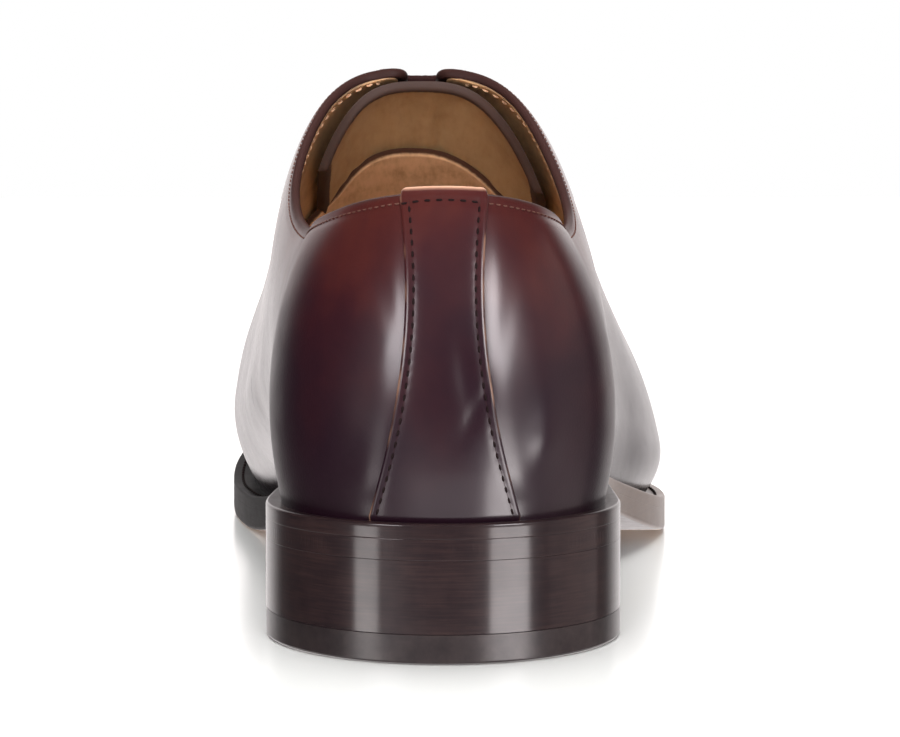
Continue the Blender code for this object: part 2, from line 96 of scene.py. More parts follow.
# the upper's cross sections, on the outside (Out) and the inside (In) of the foot
sectionTable = {
    "y": [2.6, 14.0, 37.0, 70.0, 100.0, 128.0, 160.0, 190.0, 220.0, 250.0, 275.0, 300.0],
    "bulgeOut": [0.9, 1.4, 2.0, 4.6, 4.6, 2.4, 2.8, 3.8, 3.4, 2.6, 1.8, 1.4],
    "bulgeIn": [0.9, 1.4, 2.2, 5.8, 11.2, 14.2, 10.8, 7.0, 3.2, 2.4, 1.8, 1.4],
    "riseOut": [18.0, 18.0, 17.0, 15.5, 15.0, 15.5, 14.0, 12.0, 12.0, 12.0, 11.0, 9.0],
    "riseIn": [18.0, 18.0, 18.5, 19.5, 22.0, 24.0, 25.0, 24.0, 19.0, 13.5, 11.5, 9.0],
    "fullnessOut": [2.0, 2.0, 1.85, 2.0, 2.45, 2.7, 2.05, 2.0, 2.2, 2.25, 2.05, 1.9],
    "fullnessIn": [2.0, 2.0, 2.05, 2.2, 2.9, 3.0, 2.5, 2.3, 2.25, 2.25, 2.05, 1.9],
    "crown": [104.0, 96.0, 92.0, 93.6, 101.2, 108.0, 94.0, 78.6, 65.2, 53.8, 46.6, 41.0],
    "flare": [0.0, 0.0, 0.01, 0.02, 0.03, 0.16, 0.13, 0.08, 0.0, 0.0, 0.0, 0.0],
}


def unit(v):
    return v / np.maximum(np.linalg.norm(v, axis=-1, keepdims=True), 1e-9)


def ease(v):
    v = np.clip(v, 0.0, 1.0)
    return v * v * (3 - 2 * v)


def bell(v, width):
    return np.exp(-((v / width) ** 2))


def travel(points):  # length along a row of points, from its start
    return np.concatenate([[0.0], np.cumsum(np.linalg.norm(np.diff(points, axis=0), axis=1))])


def lifted(flat, height):  # points of a plan, brought up to a height
    return np.concatenate([flat, np.broadcast_to(height, len(flat))[:, None]], 1)


# natural cubic through one column of a table
def spline(table, column, against="y"):
    at, value = np.array(table[against]), np.array(table[column])
    step, size = np.diff(at), len(at)
    system, right = np.eye(size), np.zeros(size)
    for i in range(1, size - 1):
        system[i, i - 1 : i + 2] = step[i - 1], 2 * (step[i - 1] + step[i]), step[i]
        right[i] = 6 * ((value[i + 1] - value[i]) / step[i] - (value[i] - value[i - 1]) / step[i - 1])
    bend = np.linalg.solve(system, right)

    def read(v):
        v = np.clip(v, at[0], at[-1])
        i = np.clip(np.searchsorted(at, v) - 1, 0, size - 2)
        before, after, h = v - at[i], at[i + 1] - v, step[i]
        cubic = (bend[i] * after**3 + bend[i + 1] * before**3) / (6 * h)
        near, far = value[i] / h - bend[i] * h / 6, value[i + 1] / h - bend[i + 1] * h / 6
        return cubic + near * after + far * before

    return read


section = {name: spline(sectionTable, name) for name in sectionTable if name != "y"}
crownX = spline(crownLine, "x")
topline = spline(toplineHeights, "height")
marginAt = spline(margins, "width")


def waistShare(y):
    return ease((y - soleLayers["waistStart"]) / (soleLayers["flatStart"] - soleLayers["waistStart"]))


def treadHeight(y):
    spring = np.maximum(y - soleLayers["flatEnd"], 0) / (last["length"] - soleLayers["flatEnd"])
    arch = soleLayers["seat"] * (1 - waistShare(y))
    return arch + soleLayers["toeSpring"] * spring ** soleLayers["springPower"]


def outsoleTop(y):
    thicker = (soleLayers["outsoleAtBall"] - soleLayers["outsoleAtHeel"]) * waistShare(y)
    return treadHeight(y) + soleLayers["outsoleAtHeel"] + thicker


def weltTop(y):
    return outsoleTop(y) + last["gap"] + soleLayers["welt"]


def footHeight(y):
    return weltTop(y) + last["gap"]


def soleEdge():
    heading = np.radians(edgeNodes["heading"])
    turn = np.stack([np.cos(heading), np.sin(heading)], -1)
    place = np.stack([edgeNodes["x"], edgeNodes["y"]], -1)
    t = np.arange(edgeNodes["steps"])[:, None] / edgeNodes["steps"]
    runs = []
    for i in range(len(place)):
        k = (i + 1) % len(place)
        leave = place[i] + turn[i] * edgeNodes["after"][i]
        arrive = place[k] - turn[k] * edgeNodes["before"][k]
        first = place[i] * (1 - t) ** 3 + leave * 3 * t * (1 - t) ** 2
        runs.append(first + arrive * 3 * t * t * (1 - t) + place[k] * t**3)
    return np.concatenate(runs)


def inset(outline, width):
    ahead = np.roll(outline, -1, 0) - np.roll(outline, 1, 0)
    inward = unit(np.stack([-ahead[:, 1], ahead[:, 0]], -1))
    return outline + inward * np.broadcast_to(width, len(outline))[:, None]


def along(outline, place):
    low = np.floor(place).astype(int)
    share = (place - low)[..., None]
    return outline[low % len(outline)] * (1 - share) + outline[(low + 1) % len(outline)] * share


edge = soleEdge()
footEdge = inset(edge, marginAt(edge[:, 1]))
weltInner = inset(footEdge, soleLayers["underWall"])
insoleEdge = inset(footEdge, soleLayers["insoleMargin"])
footTip = int(np.argmax(footEdge[:, 1]))
heelPace = np.linalg.norm(footEdge[1] - footEdge[-1]) / 2  # length of one place, at the back
frameShift = np.array([(edge[:, 0].min() + edge[:, 0].max()) / 2, last["length"] / 2, 0.0])


def spineY(y):
    start, end, soft = last["spineStart"], last["spineEnd"], last["spineEase"]
    y = start + soft * np.logaddexp(0.0, (y - start) / soft)
    return end - soft * np.logaddexp(0.0, (end - y) / soft)


# one half section: distance from the spine and height,
# for a climb of -1 at the foot, 0 at the widest, 1 at the crown
def profile(place, climb):
    foot = along(footEdge, place)
    y = foot[..., 1]
    inside = np.mod(place, len(footEdge)) > footTip
    pick = lambda name: np.where(inside, section[name + "In"](y), section[name + "Out"](y))
    spineAt = spineY(y)
    spine = np.stack([crownX(spineAt), spineAt], -1)
    arm = foot - spine
    reach = np.linalg.norm(arm, axis=-1)
    out = arm / reach[..., None]
    rise, power = pick("rise"), pick("fullness")
    wide = reach + pick("bulge")
    flare = wide * np.maximum(section["flare"](y), 0)
    widest = footHeight(y) + rise
    tall = section["crown"](np.minimum(y, spineAt)) - widest
    toe = ease((y - last["facingBottom"]) / (last["spineEnd"] - last["facingBottom"]))
    fall = toe * out[..., 1] * (section["crown"](spineAt + 1) - section["crown"](spineAt - 1)) / 2
    drop = np.maximum(-climb, 0) * rise
    slope = 2 * flare / tall
    tuck = (wide + slope * rise - reach) / rise**2
    angle = np.clip(climb, 0, 1) * math.pi / 2
    share = np.sin(angle) ** (2 / power)
    above = (wide - flare) * np.maximum(np.cos(angle), 0) ** (2 / power) + flare * (1 - share) ** 2
    lean = fall * above * (1 - (above / wide) ** 2)
    low = climb <= 0
    distance = np.where(low, wide + slope * drop - tuck * drop**2, above)
    return distance, widest + np.where(low, -drop, tall * share + lean), spine, out


def wall(place, climb):
    place, climb = np.broadcast_arrays(np.asarray(place, float), np.asarray(climb, float))
    distance, height, spine, out = profile(place, climb)
    return np.concatenate([spine + out * distance[..., None], height[..., None]], -1)


# point on the last, its outward normal and the way up the wall
def wallFrame(place, climb):
    place, climb = np.broadcast_arrays(np.asarray(place, float), np.asarray(climb, float))
    here = wall(place, climb)
    lift = np.where(climb + 0.02 < 1, 0.02, -0.02)
    ahead = wall(place + 4, climb) - wall(place - 4, climb)
    up = (wall(place, climb + lift) - here) * np.sign(lift)[..., None]
    return here, unit(np.cross(ahead, up)), unit(up)


def halfOpening(y):
    facing = last["facingGap"] / 2 * np.sqrt(ease((last["facingBottom"] - y) / last["throatTaper"]))
    corner = np.clip(last["facingTop"] + last["facingCorner"] - y, 0, last["facingCorner"])
    return facing + last["facingCorner"] - np.sqrt(last["facingCorner"] ** 2 - corner**2)


def climbWhere(place, test):
    low, high = np.zeros(len(place)), np.ones(len(place))
    for _ in range(40):
        middle = (low + high) / 2
        distance, height = profile(place, middle)[:2]
        past = test(distance, height)
        low, high = np.where(past, low, middle), np.where(past, middle, high)
    return high


# climb at which the wall ends: topline, facing or, in front of the throat, the crown
def edgeClimb(place):
    y = along(footEdge, place)[:, 1]
    top, opening = topline(y), halfOpening(y)
    past = lambda distance, height: np.where(y < last["facingTop"], height >= top, distance <= opening)
    return np.where(y >= last["facingBottom"], 1.0, climbWhere(place, past))


# place on the foot line at y, on the outside (1) or the inside (-1)
def placeAt(side, y):
    count = len(footEdge)
    way = np.arange(0, footTip + 1) if side > 0 else np.arange(count, footTip - 1, -1)
    return np.interp(y, footEdge[way % count, 1], way)


# climbs from start to end at equal steps of girth
def girthClimbs(place, start, end, rows):
    climb = start + (end - start)[:, None] * np.linspace(0, 1, 181)
    step = np.linalg.norm(np.diff(wall(place[:, None], climb), axis=1), axis=2)
    girth = np.concatenate([np.zeros((len(place), 1)), np.cumsum(step, 1)], 1)
    wanted = np.linspace(0, 1, rows + 1)
    return np.array([np.interp(wanted * g[-1], g, c) for g, c in zip(girth, climb)])


def climbSpeed(place, climb):
    return np.linalg.norm(wall(place, climb) - wall(place, climb - 0.01), axis=-1) / 0.01


columnSpacing = {
    "plain": 1.7,
    "heel": 1.0,
    "heelTo": 24.0,
    "corner": 0.6,  # at the facings' top corners
    "cornerFrom": 121.0,
    "cornerTo": 137.0,
}


# places of the columns, from the toe by the outside to the heel and back by the inside
def makeColumns():
    c = columnSpacing
    walk = footEdge[: footTip + 1]
    y = walk[:, 1]
    spacing = np.where(y < c["heelTo"], c["heel"], c["plain"])
    spacing = np.where((y > c["cornerFrom"]) & (y < c["cornerTo"]), c["corner"], spacing)
    pace = np.linalg.norm(np.diff(walk, axis=0), axis=1) / ((spacing[1:] + spacing[:-1]) / 2)
    travelled = np.concatenate([[0.0], np.cumsum(pace)])
    count = int(travelled[-1])
    outside = np.interp(np.arange(1, count) * travelled[-1] / count, travelled, np.arange(footTip + 1))
    inside = placeAt(-1, along(footEdge, outside)[:, 1])
    return np.concatenate([[float(footTip)], outside[::-1], [0.0], inside])


columns = makeColumns()
columnY = along(footEdge, columns)[:, 1]
columnEdge = edgeClimb(columns)
columnClosed = columnY >= last["facingBottom"]
columnTwin = -np.arange(len(columns)) % len(columns)
print("last: columns", len(columns))


def toFrame(points):
    return (np.asarray(points) - frameShift) * 0.001


# Meshes

def addPiece(name, mesh, materials, replaces=()):
    for material in materials:
        mesh.materials.append(material)
    piece = bpy.data.objects.new(name, mesh)
    bpy.context.scene.collection.objects.link(piece)
    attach(piece, "root")
    if replaces:
        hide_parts(*replaces)
    return piece


def meshFrom(name, points, faces, values=None, sharp=40.0, merge=1e-6):
    mesh = bpy.data.meshes.new(name)
    mesh.from_pydata(toFrame(points).tolist(), [], [list(f) for f in faces])
    for key, value in (values or {}).items():
        field = mesh.attributes.new(key, "FLOAT", "POINT")
        field.data.foreach_set("value", np.asarray(value, np.float32).ravel())
    bm = bmesh.new()
    bm.from_mesh(mesh)
    bmesh.ops.remove_doubles(bm, verts=bm.verts, dist=merge)
    bmesh.ops.dissolve_degenerate(bm, edges=bm.edges, dist=merge)
    bmesh.ops.recalc_face_normals(bm, faces=bm.faces)
    bm.to_mesh(mesh)
    bm.free()
    mesh.shade_smooth()
    mesh.set_sharp_from_angle(angle=math.radians(sharp))
    return mesh


# quads over a grid of rows by columns; skip is true where a quad is left out
def gridFaces(rows, cols, closedRows=False, closedCols=False, skip=None):
    faces = []
    for i in range(rows if closedRows else rows - 1):
        for j in range(cols if closedCols else cols - 1):
            if skip is not None and skip(i, j):
                continue
            k, m = (i + 1) % rows, (j + 1) % cols
            faces.append((i * cols + j, k * cols + j, k * cols + m, i * cols + m))
    return faces


def cappedFaces(rows, cols):  # rings closed round, with both ends shut
    ends = [tuple(row * cols + k for k in range(cols)) for row in (0, rows - 1)]
    return gridFaces(rows, cols, closedCols=True) + ends


def gridMesh(name, grid, closedRows=False, closedCols=False, skip=None, values=None, sharp=40.0):
    rows, cols = grid.shape[:2]
    faces = gridFaces(rows, cols, closedRows, closedCols, skip)
    return meshFrom(name, grid.reshape(-1, 3), faces, values, sharp)


# closed form between two grids that share their rim
def pillowMesh(name, outer, inner, values=None, sharp=40.0):
    rows, cols = outer.shape[:2]
    index = np.arange(rows * cols).reshape(rows, cols)
    under = index.copy()
    under[1:-1, 1:-1] = rows * cols + np.arange((rows - 2) * (cols - 2)).reshape(rows - 2, cols - 2)
    faces = []
    for i in range(rows - 1):
        for j in range(cols - 1):
            for net, step in ((index, 1), (under, -1)):
                corners = [net[i, j], net[i + 1, j], net[i + 1, j + 1], net[i, j + 1]]
                faces.append(corners[::step])
    points = np.concatenate([outer.reshape(-1, 3), inner[1:-1, 1:-1].reshape(-1, 3)])
    both = {}
    for key, (top, low) in (values or {}).items():
        both[key] = np.concatenate([top.ravel(), low[1:-1, 1:-1].ravel()])
    return meshFrom(name, points, faces, both, sharp)


# shell on the last's columns: the ring of rows goes up the outside, over the edge and down the inside
def shellMesh(name, ring, edgeRows, values=None, sharp=40.0):
    first, final = edgeRows
    for row in (first, final):
        ring[columnClosed, row] = (ring[columnClosed, row] + ring[columnTwin[columnClosed], row]) / 2
    shut = lambda i, j: first <= j < final and columnClosed[i] and columnClosed[(i + 1) % len(columns)]
    return gridMesh(name, ring, closedRows=True, closedCols=True, skip=shut, values=values, sharp=sharp)


def applyModifiers(piece):
    graph = bpy.context.evaluated_depsgraph_get()
    mesh = bpy.data.meshes.new_from_object(piece.evaluated_get(graph))
    piece.modifiers.clear()
    piece.data = mesh


# Shader maths

class Sock:
    # a socket of a material; arithmetic on it adds Math nodes
    def __init__(self, tree, socket):
        self.tree, self.socket = tree, socket

    def node(self, kind, settings=None, sockets=None, out=0):
        made = self.tree.nodes.new("ShaderNode" + kind)
        for key, value in (settings or {}).items():
            setattr(made, key, value)
        for key, value in (sockets or {}).items():
            self.feed(made.inputs[key], value)
        return Sock(self.tree, made.outputs[out])

    def feed(self, target, value):
        if isinstance(value, Sock):
            self.tree.links.new(value.socket, target)
        elif isinstance(value, tuple) and len(value) == 3 and target.type == "RGBA":
            target.default_value = (*value, 1.0)
        else:
            target.default_value = value

    def math(self, operation, *values):
        return self.node("Math", {"operation": operation}, dict(enumerate(values or (self,))))

    def __add__(self, other):
        return self.math("ADD", self, other)

    def __sub__(self, other):
        return self.math("SUBTRACT", self, other)

    def __rsub__(self, other):
        return self.math("SUBTRACT", other, self)

    def __mul__(self, other):
        return self.math("MULTIPLY", self, other)

    __radd__, __rmul__ = __add__, __mul__

    def fade(self, start, end):  # 0 at start to 1 at end, soft
        settings = {"interpolation_type": "SMOOTHSTEP", "clamp": True}
        return self.node("MapRange", settings, {0: self, 1: start, 2: end, 3: 0.0, 4: 1.0})

    def mix(self, a, b):  # colours, this socket is the factor
        return self.node("Mix", {"data_type": "RGBA"}, {0: self, 6: a, 7: b}, out=2)

    def scaled(self, x, y, z):  # vectors
        return self.node("VectorMath", {"operation": "MULTIPLY"}, {0: self, 1: (x, y, z)})

    def noise(self, scale, detail=2.0, rough=0.5):
        sockets = {"Vector": self, "Scale": scale, "Detail": detail, "Roughness": rough}
        return self.node("TexNoise", None, sockets)

    def cells(self, scale):
        return self.node("TexVoronoi", None, {"Vector": self, "Scale": scale})

    def axis(self, which):
        return self.node("SeparateXYZ", None, {0: self}, out="XYZ".index(which))

    def attribute(self, name):
        return self.node("Attribute", {"attribute_name": name}, out=2)

    def bump(self, height, strength, distance=0.001, normal=None):
        sockets = {"Height": height, "Strength": strength, "Distance": distance}
        if normal:
            sockets["Normal"] = normal
        return self.node("Bump", None, sockets)


def newMaterial(name, fixed):
    material = bpy.data.materials.new(name)
    material.use_nodes = True
    tree = material.node_tree
    shader = tree.nodes["Principled BSDF"]
    for key, value in fixed.items():
        shader.inputs[key].default_value = value
    place = tree.nodes.new("ShaderNodeTexCoord")
    # millimetres in the part's frame
    at = Sock(tree, place.outputs["Object"]).scaled(1000.0, 1000.0, 1000.0)

    def finish(**sockets):
        for key, value in sockets.items():
            at.feed(shader.inputs[key.replace("_", " ")], value)
        return material

    return at, finish


# Finishes

leatherLook = {
    "deep": (0.0098, 0.0034, 0.0066),
    "wine": (0.028, 0.0055, 0.0066),
    "russet": (0.050, 0.0110, 0.0080),
    "burnt": (0.028, 0.0135, 0.0120),
    "rawEdge": (0.42, 0.235, 0.155),
    "roughness": 0.42,
    "grain": 0.55,
}


def oxbloodLeather(name, rawEdge=False):
    look = leatherLook
    at, finish = newMaterial(name, {"Specular IOR Level": 0.03, "Coat Roughness": 0.23, "Coat IOR": 1.4})
    height = at.axis("Z")
    cloud = at.noise(0.045, 3.0, 0.55)
    mottle = at.noise(0.16, 1.5, 0.4)
    brushed = at.scaled(1.0, 1.0, 0.3).noise(0.35, 1.5, 0.4)
    # painted light: darker low on the upper (painted shade) and lighter, redder towards the top (painted
    # top light), set by height
    paintedShadeLow = (height + (cloud - 0.5) * 60).fade(34.0, 82.0)
    colour = paintedShadeLow.mix(look["deep"], look["wine"])
    glow = (height + (cloud - 0.5) * 50 + (mottle - 0.5) * 24).fade(58.0, 96.0) * 0.75
    colour = glow.mix(colour, look["russet"])
    colour = (((mottle - 0.5) + (brushed - 0.5)).fade(-0.2, 0.7) * 0.3).mix(colour, look["deep"])
    rim = at.attribute("rim")  # millimetres below the edge
    colour = ((1 - rim.fade(0.3, 1.8)) * 0.9).mix(colour, look["burnt"])
    polish = rim.fade(0.6, 3.0)
    # less polish on the heel's flanks, and low on its inside
    heelOnly = 1 - at.axis("Y").fade(-95.0, -60.0)
    aside = at.axis("X").math("ABSOLUTE").fade(18.0, 27.0)
    lowInside = (1 - height.fade(36.0, 50.0)) * at.axis("X").fade(-5.0, -12.0)
    polish = polish * (1 - heelOnly * aside * 0.7) * (1 - heelOnly * lowInside * 0.65)
    if rawEdge:
        raw = at.attribute("raw")
        colour = raw.mix(colour, look["rawEdge"])
        polish = polish * (1 - raw)
    pores = at.cells(2.3) + at.noise(4.5, 2.0, 0.6) * 0.6
    fine = at.bump(pores, 0.14 * look["grain"], 0.0004)
    soft = at.bump(at.noise(0.12, 2.0, 0.4), 0.03, 0.001, fine)
    roughness = look["roughness"] + (mottle - 0.5) * 0.16
    coat = polish * (0.7 + (cloud - 0.5) * 0.4)
    return finish(Base_Color=colour, Roughness=roughness, Coat_Weight=coat, Normal=soft)


liningLook = {
    "tan": (0.58, 0.345, 0.175),
    "olive": (0.42, 0.268, 0.138),
    "vamp": (0.66, 0.40, 0.23),
    "shade": (0.32, 0.185, 0.090),
}


def liningLeather(name, tan, shade, boundEdgeAndShadowBand=None):
    at, finish = newMaterial(name, {"Specular IOR Level": 0.3})
    patch = at.noise(0.11, 4.0, 0.6)
    streak = at.scaled(1.0, 0.25, 0.25).noise(0.9, 3.0, 0.6)
    colour = ((patch - 0.5) * 0.9 + (streak - 0.5) * 0.7 + 0.3).fade(0.05, 0.85).mix(tan, shade)
    roughness = 0.58 + (patch - 0.5) * 0.2
    if boundEdgeAndShadowBand:  # a dark band along the edge: the tongue's bound edge, and on the vamp lining a painted shadow line along its front edge; wine leather on the outer face
        ragged = at.attribute("rim") + (at.noise(0.9, 3.0, 0.6) - 0.5) * boundEdgeAndShadowBand["ragged"]
        boundEdgeAndShadow = 1 - ragged.fade(boundEdgeAndShadowBand["width"] - 0.25, boundEdgeAndShadowBand["width"] + 0.25)
        colour = boundEdgeAndShadow.mix(colour, boundEdgeAndShadowBand["colour"])
        colour = at.attribute("face").mix(colour, leatherLook["wine"])
    pores = at.cells(2.6) * 0.6 + at.noise(3.2, 3.0, 0.7)
    return finish(Base_Color=colour, Roughness=roughness, Normal=at.bump(pores, 0.12, 0.0005))


edgeLook = {
    "dark": (0.0098, 0.0056, 0.0066),
    "brown": (0.023, 0.0120, 0.0115),
    "outer": (0.14, 0.100, 0.080),  # painted light: the forepart's outside edge is paler, a painted reflection, and its inside edge nearly black, a painted shadow
    "inner": (0.0045, 0.0035, 0.0040),
    "tread": (0.36, 0.215, 0.11),
    "fibre": (0.25, 0.135, 0.062),
}


# burnished sole and heel edges: streaks run along the layers
def burnishedEdge(name, ticks=None):
    look = edgeLook
    at, finish = newMaterial(name, {"Specular IOR Level": 0.05, "Coat Roughness": 0.15, "Coat IOR": 1.4})
    streak = at.scaled(0.10, 0.10, 2.6).noise(1.0, 4.0, 0.65)
    worn = at.noise(0.16, 4.0, 0.6)
    layers = (streak - 0.5) * 1.6 + (worn - 0.5) * 0.8 + 0.35
    colour = layers.fade(0.0, 1.0).mix(look["dark"], look["brown"])
    # painted light on the forepart's edges: a paler outside (painted reflection) and a nearly black inside
    # (painted shadow)
    forward = at.axis("Y").fade(-95.0, -60.0)
    outside = forward * at.axis("X").fade(8.0, 26.0)
    inside = forward * (1 - at.axis("X").fade(-26.0, -8.0))
    colour = (outside * (streak * 0.6 + 0.5)).mix(colour, look["outer"])
    colour = inside.mix(colour, look["inner"])
    relief = streak * 0.5 + at.noise(1.6, 3.0, 0.7) * 0.35
    if ticks:  # marks of the edge wheel
        turn = at.attribute("run") * (2 * math.pi / ticks["pitch"])
        band = at.attribute("lift").fade(ticks["low"], ticks["low"] + 0.25)
        band = band * (1 - at.attribute("lift").fade(ticks["high"] - 0.25, ticks["high"]))
        marks = turn.math("SINE").fade(0.0, 0.9) * band
        relief = relief + marks * (worn.fade(0.42, 0.6) * ticks["depth"])
    roughness = 0.38 + (worn - 0.5) * 0.14 + (streak - 0.5) * 0.10 + inside * 0.2
    polish = (0.55 + (worn - 0.5) * 0.3) * (1 - (outside * 0.7 + inside * 0.95))
    bump = at.bump(relief, 0.08, 0.0005)
    return finish(Base_Color=colour, Roughness=roughness, Coat_Weight=polish, Normal=bump)


def treadLeather(name):
    look = edgeLook
    at, finish = newMaterial(name, {"Specular IOR Level": 0.35})
    fibre = at.noise(0.35, 5.0, 0.65)
    colour = ((fibre - 0.5) * 1.4 + 0.4).fade(0.0, 1.0).mix(look["tread"], look["fibre"])
    ball = at.axis("Y") + at.axis("X") * at.axis("X") * 0.004 + (fibre - 0.5) * 3
    colour = ball.fade(24.0, 26.5).mix(look["brown"], colour)  # dark brown behind the ball, over the waist
    pores = at.cells(1.7) * 0.5 + fibre
    roughness = 0.42 + (fibre - 0.5) * 0.2
    return finish(Base_Color=colour, Roughness=roughness, Normal=at.bump(pores, 0.10, 0.0005))


def threadFinish(name, colour, dark):
    at, finish = newMaterial(name, {"Specular IOR Level": 0.04})
    twist = at.noise(5.0, 2.0, 0.5)
    return finish(
        Base_Color=(twist - 0.1).fade(0.2, 0.7).mix(dark, colour),
        Roughness=0.6 + (twist - 0.5) * 0.2,
        Normal=at.bump(twist, 0.3, 0.0003),
    )


def rubberFinish(name):
    at, finish = newMaterial(name, {"Specular IOR Level": 0.05, "Coat Roughness": 0.28, "Coat IOR": 1.4})
    dust = at.noise(0.3, 4.0, 0.6)
    colour = dust.fade(0.25, 0.8).mix((0.0105, 0.0070, 0.0078), (0.019, 0.0128, 0.0126))
    streak = at.scaled(0.12, 0.12, 2.2).noise(1.0, 3.0, 0.6)
    relief = at.noise(2.2, 3.0, 0.6) * 0.5 + streak * 0.5
    return finish(
        Base_Color=colour,
        Roughness=0.45 + (dust - 0.5) * 0.16,
        Coat_Weight=0.55 + (dust - 0.5) * 0.4,
        Normal=at.bump(relief, 0.08, 0.0005),
    )


upperSkin = oxbloodLeather("oxbloodUpper")
stripSkin = oxbloodLeather("oxbloodStrip", rawEdge=True)
liningSkin = liningLeather("tanLining", liningLook["tan"], liningLook["shade"])
tongueBand = {"width": 2.7, "ragged": 1.2, "colour": (0.042, 0.021, 0.016)}
tongueSkin = liningLeather("tongueLining", liningLook["olive"], liningLook["shade"], tongueBand)
# the vamp lining's dark band along its front edge is a painted shadow line
vampEdgeShadow = {"width": 0.8, "ragged": 0.3, "colour": (0.045, 0.019, 0.012)}
vampSkin = liningLeather("vampLining", liningLook["vamp"], liningLook["shade"], vampEdgeShadow)
sockSkin = liningLeather("sockLeather", liningLook["tan"], (0.40, 0.235, 0.115))
wheelTicks = {"pitch": 1.15, "low": 0.8, "high": 2.9, "depth": 0.8}
outsoleEdgeSkin = burnishedEdge("burnishedOutsole", wheelTicks)
weltSkin = burnishedEdge("burnishedWelt")
heelSkin = burnishedEdge("burnishedHeel")
treadSkin = treadLeather("treadLeather")
topPieceSkin = rubberFinish("topPieceRubber")
darkThread = threadFinish("darkThread", (0.012, 0.006, 0.006), (0.005, 0.0025, 0.0025))
rustThread = threadFinish("rustThread", (0.12, 0.055, 0.042), (0.06, 0.026, 0.020))
peachThread = threadFinish("peachThread", (0.80, 0.55, 0.38), (0.50, 0.28, 0.16))
laceSkin = threadFinish("waxedLace", (0.030, 0.011, 0.010), (0.012, 0.005, 0.005))
print("finishes: materials", len(bpy.data.materials))

# Upper

backStrip = {
    "height": [24.0, 37.0, 47.5, 57.5, 66.0, 84.0],
    "halfWidth": [14.4, 10.5, 8.4, 7.2, 6.9, 8.0],
    "foot": -1.0,
    "seat": 1.5,  # how far its end goes down into the welt's crease
    "thickness": 1.05,
    "rows": 120,
    "rollRows": 14,
    "inside": 2.2,  # how far it goes down inside the collar
    "groove": 0.07,  # along the stitches
    "seamDrop": 1.5,  # the seam across its top, below the collar's edge
    "bead": 0.04,
    "rawEdge": 0.35,  # how pale the cut edges are
    "nearEdge": [  # columns near both edges, by their distance in from the edge
        0.0, 0.0, 0.03, 0.12, 0.30, 0.55, 0.8, 1.0, 1.2,
        1.35, 1.48, 1.6, 1.72, 1.85, 2.0, 2.3, 2.7, 3.2,
    ],
    "sideLift": [-0.2, 0.45, 0.75, 0.92, 1.01],  # the rounded edge, on the outermost columns
    "middleColumns": 13,
}
stripStitch = {"inset": 1.6, "pitch": 2.1, "length": 1.15, "width": 0.44, "height": 0.02}
stripHalfWidth = spline(backStrip, "halfWidth", "height")

upper = {
    "skin": 1.3,
    "edgeRadius": 1.0,
    "turnedIn": 2.0,  # leather folded over the edge, on the inside
    "rows": 62,
    "rollSteps": 8,
    "innerRows": 14,
    "seat": 0.7,  # how far the foot goes down into the welt's crease
    "ridge": 0.55,  # the leather rises to the back strip's edges
    "ridgeWidth": 4.2,
    "ridgeFoot": 26.0,  # it starts at this height
    "ridgeGrows": 8.0,
    "channel": 0.22,  # the leather is drawn in along the stitches under the edge
    "waviness": 0.05,
    "heelEnd": 40.0,  # the heel's own relief ends here
}
edgeStitch = {"aside": 8.6, "drop": 2.5, "pitch": 1.5, "length": 0.95, "width": 0.30, "height": -0.12}
# soft dents and folds at the heel: x, z, half length along the fold, half width, lean in degrees, and
# depth, below 0 where the leather stands out
heelFolds = [
    {"x": 3.4, "z": 50.0, "long": 7.0, "wide": 1.7, "lean": 8.0, "depth": 0.30},
    {"x": 5.2, "z": 44.0, "long": 5.0, "wide": 1.3, "lean": -24.0, "depth": 0.22},
    {"x": -9.6, "z": 62.0, "long": 6.0, "wide": 1.6, "lean": 10.0, "depth": 0.09},
    {"x": -9.0, "z": 52.0, "long": 5.0, "wide": 1.4, "lean": -12.0, "depth": 0.07},
    {"x": 18.0, "z": 39.0, "long": 6.0, "wide": 3.0, "lean": -10.0, "depth": -0.62},
    {"x": 10.2, "z": 58.0, "long": 6.5, "wide": 1.7, "lean": -8.0, "depth": 0.08},
]


def waviness(points, size, seed):
    flat = points.reshape(-1, 3) / size + seed
    return np.array([noise.noise(Vector(p)) for p in flat]).reshape(points.shape[:-1])


def foldDepth(points):
    x, z = points[..., 0], points[..., 2]
    total = np.zeros(x.shape)
    for fold in heelFolds:
        lean = math.radians(fold["lean"])
        across = (x - fold["x"]) * math.cos(lean) + (z - fold["z"]) * math.sin(lean)
        down = (z - fold["z"]) * math.cos(lean) - (x - fold["x"]) * math.sin(lean)
        total += fold["depth"] * bell(across, fold["wide"]) * bell(down, fold["long"])
    return total * (points[..., 1] < upper["heelEnd"])


# how far the leather stands off the last
def leatherRelief(points):
    beside = np.abs(points[..., 0]) - stripHalfWidth(points[..., 2])
    grown = ease((points[..., 2] - upper["ridgeFoot"]) / upper["ridgeGrows"])
    heel = (points[..., 1] < upper["heelEnd"]) * grown
    ridge = upper["ridge"] * bell(np.maximum(beside, 0), upper["ridgeWidth"])
    calm = ease((points[..., 1] - 4) / 30) * 0.5 + 0.5
    return heel * ridge - foldDepth(points) + upper["waviness"] * calm * waviness(points, 13.0, 3.7)


# points over an edge, in a half round roll from the outside to the inside
def edgeRoll(rim, normal, up, radius, steps):
    turn = np.linspace(0, math.pi, steps + 1)[1:]
    centre = rim - up * radius[:, None] - normal * radius[:, None]
    swing = normal[:, None] * np.cos(turn)[None, :, None] + up[:, None] * np.sin(turn)[None, :, None]
    return centre[:, None] + swing * radius[:, None, None]


rimPoint, rimNormal, rimUp = wallFrame(columns, columnEdge)
rimRadius = upper["edgeRadius"] * ease((last["facingBottom"] - columnY) / 4.0)
rimSpeed = climbSpeed(columns, columnEdge)


def belowRim(depth):  # climbs at a girth below the edge
    return columnEdge - depth / rimSpeed


